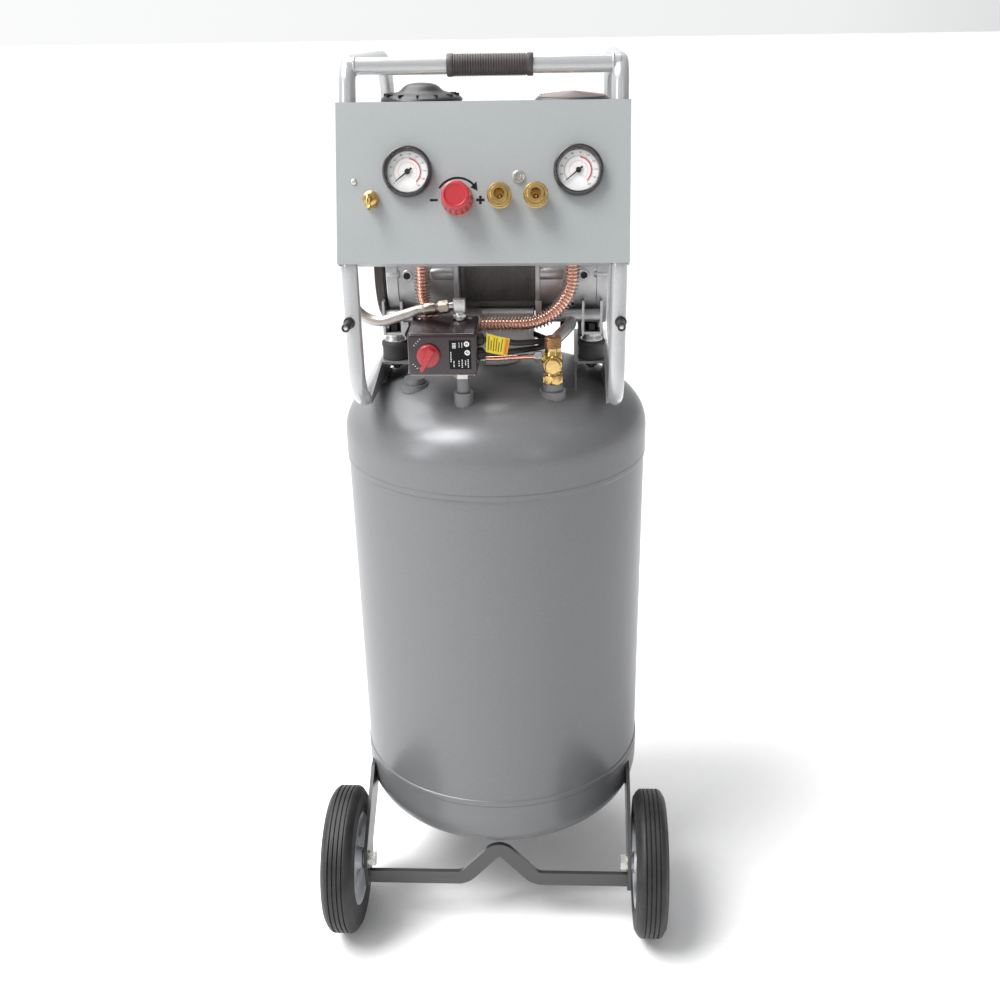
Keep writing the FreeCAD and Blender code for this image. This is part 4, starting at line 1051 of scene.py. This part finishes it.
def crankcase_details():
    """Joint flanges, tie-rod bosses, screws and ribs on the two crankcases, with near-black discs in the holes as
    painted shade.
    """
    bm = bmesh.new()
    # dark holds near-black discs set in the holes: painted shade.
    dark = bmesh.new()
    for side in (-1, 1):
        inner = along_shaft(side * stator_half, side)
        closed_turn(bm, inner, [(63, 0.2), (78.5, 0.2), (79, 0.8), (79, 5.4), (78.5, 6), (74.5, 6.4),
                                (63, 6.4)], 120)
        cover = along_shaft(side * (crankcase_end - 15), side)
        closed_turn(bm, cover, [(74, 0), (76.4, 0), (77, 0.5), (77, 13.6), (76.2, 14.6), (74, 14.8)], 120)
        for k in range(6):
            a = math.radians(60 * k)
            y = pump[1] + 71.5 * math.cos(a)
            z = pump[2] + 71.5 * math.sin(a)
            boss = frame_at(T(pump[0] + side * stator_half, y, z), (side, 0, 0))
            turned(bm, boss, [(1, 6), (8.0, 6), (8.2, 7), (8.0, 33), (6.4, 35.6), (1, 36)], 32)
            ear = frame_at(T(pump[0] + side * (crankcase_end - 15), y, z), (side, 0, 0))
            turned(bm, ear, [(1, -3), (5.4, -3), (6, -2), (6, 13), (5.4, 14), (1, 14)], 28)
            # A near-black disc in the ear's end: painted shade of its hole.
            turned(dark, ear, [(0.4, 13.6), (2.9, 13.6), (2.9, 14.2), (0.4, 14.2)], 20)
    for x, height, radius, hole in ((-106, -2, 7.2, 4.4), (116, -2, 7.2, 4.4), (101.5, -40, 4.6, 3.2)):
        y = pump[1] - math.sqrt(crankcase_radius ** 2 - height ** 2)
        face = frame_at(T(x, y, pump[2] + height), (0, -1, height / crankcase_radius))
        closed_turn(bm, face, [(hole, -4), (radius, -4), (radius, 0.8), (radius - 0.6, 1.5),
                               (hole + 0.3, 1.5), (hole, 1.2)], 32)
        # A near-black disc inside the boss's bore: painted shade of the hole.
        turned(dark, face, [(0.4, -1), (hole - 0.02, -1), (hole - 0.02, 0.25), (0.4, 0.25)], 24)
    new_piece("crankcase_bosses", bm, "cast_aluminium", smooth=35)
    new_piece("crankcase_hole_shade", dark, "hole_dark", smooth=35)


def cooling_fan():
    """A back disc with nine pitched blades and a hub, under a rim."""
    place = along_shaft(-crankcase_end - 16)
    bm = bmesh.new()
    closed_turn(bm, place, [(8.05, 0), (14, 0), (16, 1.2), (16, 11.5), (66, 11.8), (68, 11.2), (68, 0.6),
                            (67, 0.2), (66.4, 0.6), (66.4, 10.6), (66, 13), (8.05, 13)], 96)
    root = 15.0
    tip = 66.6
    half = 0.9
    corners = ((-half, 1.0), (-half, 11.8), (half, 11.8), (half, 1.0))
    for k in range(9):
        rings = []
        for n in range(7):
            r = root + (tip - root) * n / 6
            a = 2 * math.pi * k / 9 + 0.34 * (n / 6) ** 1.4
            rings.append([place @ (Vector((r * math.cos(a + w / r), r * math.sin(a + w / r), h)) * MM)
                          for w, h in corners])
        loft(bm, rings)
    piece = new_piece("fan_wheel", bm, "fan_brown", "motor_shaft", smooth=35)
    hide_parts("cooling_fan")


def head_screws():
    """Four socket screws in each cylinder head, and the studs beside each cylinder."""
    bm = bmesh.new()
    for side in (-1, 1):
        x0 = pump[0] + side * cylinder_reach
        for sx in (-1, 1):
            for sy in (-1, 1):
                place = frame_at(T(x0 + 40 * sx, pump[1] + 41 * sy, 0), (0, 0, 1))
                screw = round_rings(place, [(0.5, 1056), (5.2, 1056), (5.2, 1071.2), (4.7, 1071.8)], 24)
                socket = [shaped_ring(place, hex_radius(5, 3), height, 24) for height in (1071.8, 1068.6)]
                loft(bm, screw + socket)
                turned(bm, place, [(0.4, 986), (3, 986), (3, 1044.2), (0.4, 1044.2)], 16)
    new_piece("head_screws", bm, "bolt_black", smooth=30)


def ridges(low, count, crest, root):
    """The outline of ridges round a filter's side, 4 mm apart."""
    outline = []
    for z in range(low, low + 4 * count, 4):
        outline += [(crest, z), (crest, z + 2.2), (root, z + 2.7), (root, z + 3.4)]
    return outline


def intake_filters():
    """The left filter has a domed lid with a hump, the right one a lid with fine ridges."""
    left = frame_at(T(pump[0] - cylinder_reach, pump[1], 0), (0, 0, 1))
    bm = bmesh.new()
    outline = [(1, head_top_z + 0.2), (48.5, head_top_z + 0.2), (49.4, 1071.4), (50.6, 1078)]
    outline += ridges(1080, 5, 51, 49.9)
    outline += [(51, 1100), (50.6, 1101.8), (48.4, 1104.2), (44, 1106), (36, 1108.4), (28.5, 1110.2),
                (25, 1112.6), (22, 1115.6), (18, 1118), (12, 1119.6), (6, 1120.2), (1, 1120.4)]
    turned(bm, left, outline, 96)
    for k in range(12):
        a = 2 * math.pi * k / 12
        place = left @ Matrix.Rotation(a, 4, "Z")
        prism(bm, [(27, -1), (47, -1), (47, 1), (27, 1)], 1104.6, 1108.4 - 0.2 * (k % 2), place)
    piece = new_piece("left_filter", bm, "black_plastic", smooth=35)
    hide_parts("intake_filters")
    right = frame_at(T(pump[0] + cylinder_reach, pump[1], 0), (0, 0, 1))
    bm = bmesh.new()
    outline = [(1, head_top_z + 0.2), (44.6, head_top_z + 0.2), (45.4, 1071.4), (46.6, 1078), (46.9, 1080)]
    outline += ridges(1081, 4, 46.9, 45.9)
    outline += [(46.9, 1097.6), (46.2, 1099.4), (43, 1102.4), (40, 1103.2), (1, 1103.2)]
    turned(bm, right, outline, 96)
    new_piece("right_filter", bm, "black_plastic", smooth=35)
    bm = bmesh.new()
    outline = [(1, 1103)]
    for k in range(10):
        r = 41.5 - 4 * k
        outline += [(r, 1103.2 + 0.55 * k), (r - 0.4, 1105 + 0.45 * k), (r - 1.8, 1105 + 0.45 * k),
                    (r - 2.2, 1103.6 + 0.55 * k)]
    turned(bm, right, outline + [(0.8, 1108.6)], 96)
    new_piece("right_filter_lid", bm, "lid_grey", smooth=30)


def vibration_mounts():
    """Rubber barrels with a plated cup above and a plated washer below."""
    rubber_bm = bmesh.new()
    cups = bmesh.new()
    for x in (-127, 127):
        for y in (-25, 95):
            place = frame_at(T(x, y, 0), (0, 0, 1))
            closed_turn(rubber_bm, place, [(4.2, 790.2), (16.6, 790.2), (17.4, 791), (17.0, 795), (16.8, 801),
                                           (17.2, 806), (18.0, 808.4), (18.0, 811.6), (17.2, 812.8),
                                           (4.2, 812.8)], 56)
            closed_turn(cups, place, [(4.2, 813), (13.6, 813), (14, 814), (13.6, 816.4), (12.2, 818),
                                      (11.6, 820.5), (11.6, 822.4), (4.2, 822.8)], 56)
            closed_turn(cups, place, [(4.2, 788.4), (12, 788.4), (12.4, 789), (12.4, 790.1), (4.2, 790.1)],
                        40)
    piece = new_piece("mount_rubbers", rubber_bm, "black_rubber", smooth=40)
    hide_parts("vibration_mounts")
    new_piece("mount_cups", cups, "nut_grey", smooth=40)


def terminal_box_trim():
    """The lid's edge and screws of the terminal box under the motor."""
    bm = bmesh.new()
    place = frame_at(T(16, 0, 0), (0, 0, 1))
    prism(bm, [(-37.5, -37.5), (37.5, -37.5), (37.5, 37.5), (-37.5, 37.5)], 803.4, 808.4, place)
    bevel_sharp(bm, 1.6, 40, 3)
    for sx in (-1, 1):
        for sy in (-1, 1):
            corner = frame_at(T(16 + 31 * sx, 31 * sy, 803.4), (0, 0, -1))
            turned(bm, corner, [(0.4, -0.2), (3.4, -0.2), (3.2, 1.0), (2.2, 1.7), (0.4, 1.8)], 20)
    new_piece("terminal_box_lid", bm, "box_plastic", smooth=40)


# ---------------------------------------------------------------- frame, wheels and welds

wheel_radius = 102.4
wheel_width = 45.0
wheel_inner_x = 191.6
axle_y = -185.2


def handle_grip():
    """A ribbed sleeve with a smooth collar at each end."""
    low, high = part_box("handle_grip")
    middle = (low + high) / 2
    place = frame_at(Vector((low.x, middle.y, middle.z)), (1, 0, 0))
    length = (high.x - low.x) / MM
    r = (high.z - low.z) / MM / 2
    bm = bmesh.new()
    outline = [(9.6, 0), (r - 0.8, 0), (r - 0.1, 0.8), (r, 5), (r - 0.1, 6.6), (r - 1.1, 7.2)]
    x = 7.6
    while x < length - 10.2:
        outline += [(r - 1.1, x), (r - 0.25, x + 0.5), (r - 0.15, x + 1.5), (r - 1.1, x + 2.0)]
        x += 2.9
    outline += [(r - 1.1, length - 7.2), (r - 0.1, length - 6.6), (r, length - 5), (r - 0.1, length - 0.8),
                (r - 0.8, length), (9.6, length)]
    closed_turn(bm, place, outline, 72)
    piece = new_piece("grip_sleeve", bm, "grip_rubber", smooth=40)
    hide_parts("handle_grip")


def frame_pegs():
    """Two caps on studs, each with a pale recessed end."""
    black = bmesh.new()
    pale = bmesh.new()
    for side in (-1, 1):
        place = frame_at(T(side * 156.5, -171, 873), (0, -1, 0))
        closed_turn(black, place, [(2.9, 6), (4.7, 6), (4.9, 9.6), (4.9, 26), (4.7, 35.6), (4.2, 36.5),
                                   (3.4, 36.4), (2.9, 35.8)], 40)
        closed_turn(black, place, [(2.9, 9), (6.6, 9), (6.9, 9.8), (6.6, 11.6), (5, 12.2), (2.9, 12.2)], 40)
        turned(pale, place, [(0.3, 6), (2.95, 6), (2.95, 34.9), (2.4, 35.4), (0.3, 35.5)], 28)
    piece = new_piece("peg_sleeves", black, "black_plastic", smooth=40)
    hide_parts("frame_pegs")
    new_piece("peg_studs", pale, "zinc_steel", smooth=40)


def wheel(side):
    name = "left" if side < 0 else "right"
    body = name + "_wheel"
    place = frame_at(T(side * wheel_inner_x, axle_y, wheel_radius), (side, 0, 0))
    r = wheel_radius
    w = wheel_width
    bm = bmesh.new()
    outline = [(64.5, 3), (66, 2.2), (70, 1.6), (71.4, 0.8), (73.4, 0.8), (74.4, 1.5), (80, 1.2), (86, 1.4),
               (90, 2.0), (91, 1.5), (92.4, 1.6), (93.2, 2.6), (96.4, 4.0), (99.4, 6.2), (101.4, 8.6),
               (r - 0.3, 10.4)]
    for k in range(4):
        u = 12.6 + 6.1 * k
        outline += [(r, u - 0.9), (r - 0.1, u - 0.1), (r - 2.5, u + 0.3), (r - 2.5, u + 1.3),
                    (r - 0.1, u + 1.7)]
    outline += [(r, w - 11.6)]
    outline += [(radius, w - x) for radius, x in outline[15::-1]]
    closed_turn(bm, place, outline, 160)
    tyre = new_piece(name + "_tyre_tread", bm, "tyre_rubber", body, smooth=32)
    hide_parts(name + "_tyre")
    bm = bmesh.new()
    rim = [(52.5, 9.6), (56.4, 6.8), (58.4, 4.0), (60.4, 3.0), (63.6, 2.8), (64.4, 3.4)]
    outline = [(6.5, 0.1), (14.2, 0.1), (15, 0.8), (15.4, 6), (17.4, 9.2), (24, 10.6), (34, 11.2),
               (46, 10.8), *rim]
    outline += [(radius, w - x) for radius, x in rim[::-1]]
    outline += [(46, 17), (34, 17.4), (24, 18), (17.4, 20), (15.4, 24), (15.2, 35.2), (14.4, 36), (6.5, 36)]
    closed_turn(bm, place, outline, 120)
    for k in range(8):
        a = 2 * math.pi * (k + 0.5) / 8
        spot = place @ Matrix.Translation(Vector((42 * math.cos(a), 42 * math.sin(a), 0)) * MM)
        for z, flip in ((11.0, -1), (17.0, 1)):
            closed_turn(bm, spot, [(5.6, z), (8.4, z), (7.8, z + flip * 0.9), (6.4, z + flip * 0.9)], 28)
    hub = new_piece(name + "_hub_disc", bm, "hub_paint", body, smooth=35)
    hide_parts(name + "_hub")
    bm = bmesh.new()
    for z, rise in ((0.4, -0.1), (35.7, 0.1)):
        face = z + 3 * rise
        closed_turn(bm, place, [(6.5, z), (12.6, z), (12.6, z + rise), (11.4, face), (6.5, face)], 48)
    new_piece(name + "_hub_bearings", bm, "shaft_steel", body, smooth=35)


def ripple_bead(bm, path, radius, wave=0.0034, closed=False):
    """Adds a weld bead: a low round ridge with ripples along it."""
    points = evenly(path, wave / 4)
    radii = [radius * MM * (1 + 0.13 * math.sin(math.pi * k / 2) + 0.09 * math.sin(0.37 * k))
             for k in range(len(points))]
    if not closed:
        radii[0] *= 0.45
        radii[-1] *= 0.45
    sweep(bm, points, radii, 10)


def dome_height(x, y):
    """The top head's height above the floor at a point, in millimetres."""
    r = min(math.hypot(x, y) / 201.6, 1.0)
    return 693 + 89 * max(0.0, 1 - r ** 2.24) ** (1 / 2.24)


def dome_ring(x, y, radius, lift=0.4, steps=72):
    """A closed ring that follows the top head round a point."""
    points = []
    for k in range(steps + 1):
        a = 2 * math.pi * k / steps
        px = x + radius * math.cos(a)
        py = y + radius * math.sin(a)
        points.append(T(px, py, dome_height(px, py) + lift))
    return points


def weld_beads():
    bm = bmesh.new()
    for x, y, radius in ((*valve, 14.4), (-31, -132, 9.6), (-98, -78, 14.8)):
        ripple_bead(bm, dome_ring(x, y, radius), 2.6, 0.0046, True)
    for side in (-1, 1):
        for offset in (-9.6, 9.6):
            x = side * 153.5 + offset
            line = [T(x, y, max(dome_height(x, y), 757.5) + 0.2) for y in range(-30, 31, 3)]
            ripple_bead(bm, line, 2.2)
    new_piece("weld_ripples", bm, "tank_paint", smooth=60)
    bm = bmesh.new()
    low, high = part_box("handle_bar")
    y = (low.y + high.y) / 2 / MM - tank_axis_y
    z = (low.z + high.z) / 2 / MM
    for side in (-1, 1):
        ring = shaped_ring(frame_at(T(side * 145.4, y, z), (1, 0, 0)), lambda a: 9.0, 0, 60)
        ripple_bead(bm, ring + ring[:1], 1.7, 0.0036, True)
    new_piece("handle_welds", bm, "frame_paint", smooth=60)


def paint_cad_nodes():
    """Gives every carried-over CAD node the finish of its slot; the axle bracket instead gets a much darker gloss
    paint, which is painted shade.
    """
    for node, name in node_slots.items():
        mesh = frame["nodes"][node].data
        mesh.materials.clear()
        # The axle bracket is painted much darker than its slot's finish: painted shade.
        mesh.materials.append(materials["bracket_paint" if node == "axle_bracket" else name])


def read_slots():
    """The material slot of each node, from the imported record."""
    return {entry["node"]: entry["material_slot"] for entry in frame["record"]["subparts"]}


materials = make_materials()
node_slots = read_slots()
make_camera()
make_floor()
make_lights()
paint_cad_nodes()
gauge_bezels()
gauge_scale("left", left_gauge)
gauge_scale("right", right_gauge)
panel_print()
regulator_knob()
coupler_sleeves()
panel_screws()
switch_cover()
switch_label()
switch_dial()
switch_elbow()
braided_hose()
finned_tubes()
check_valve()
lead_tag()
tube_nuts()
gland_nuts()
motor_stator()
crankcase_details()
cooling_fan()
head_screws()
intake_filters()
vibration_mounts()
terminal_box_trim()
handle_grip()
frame_pegs()
wheel(-1)
wheel(1)
weld_beads()
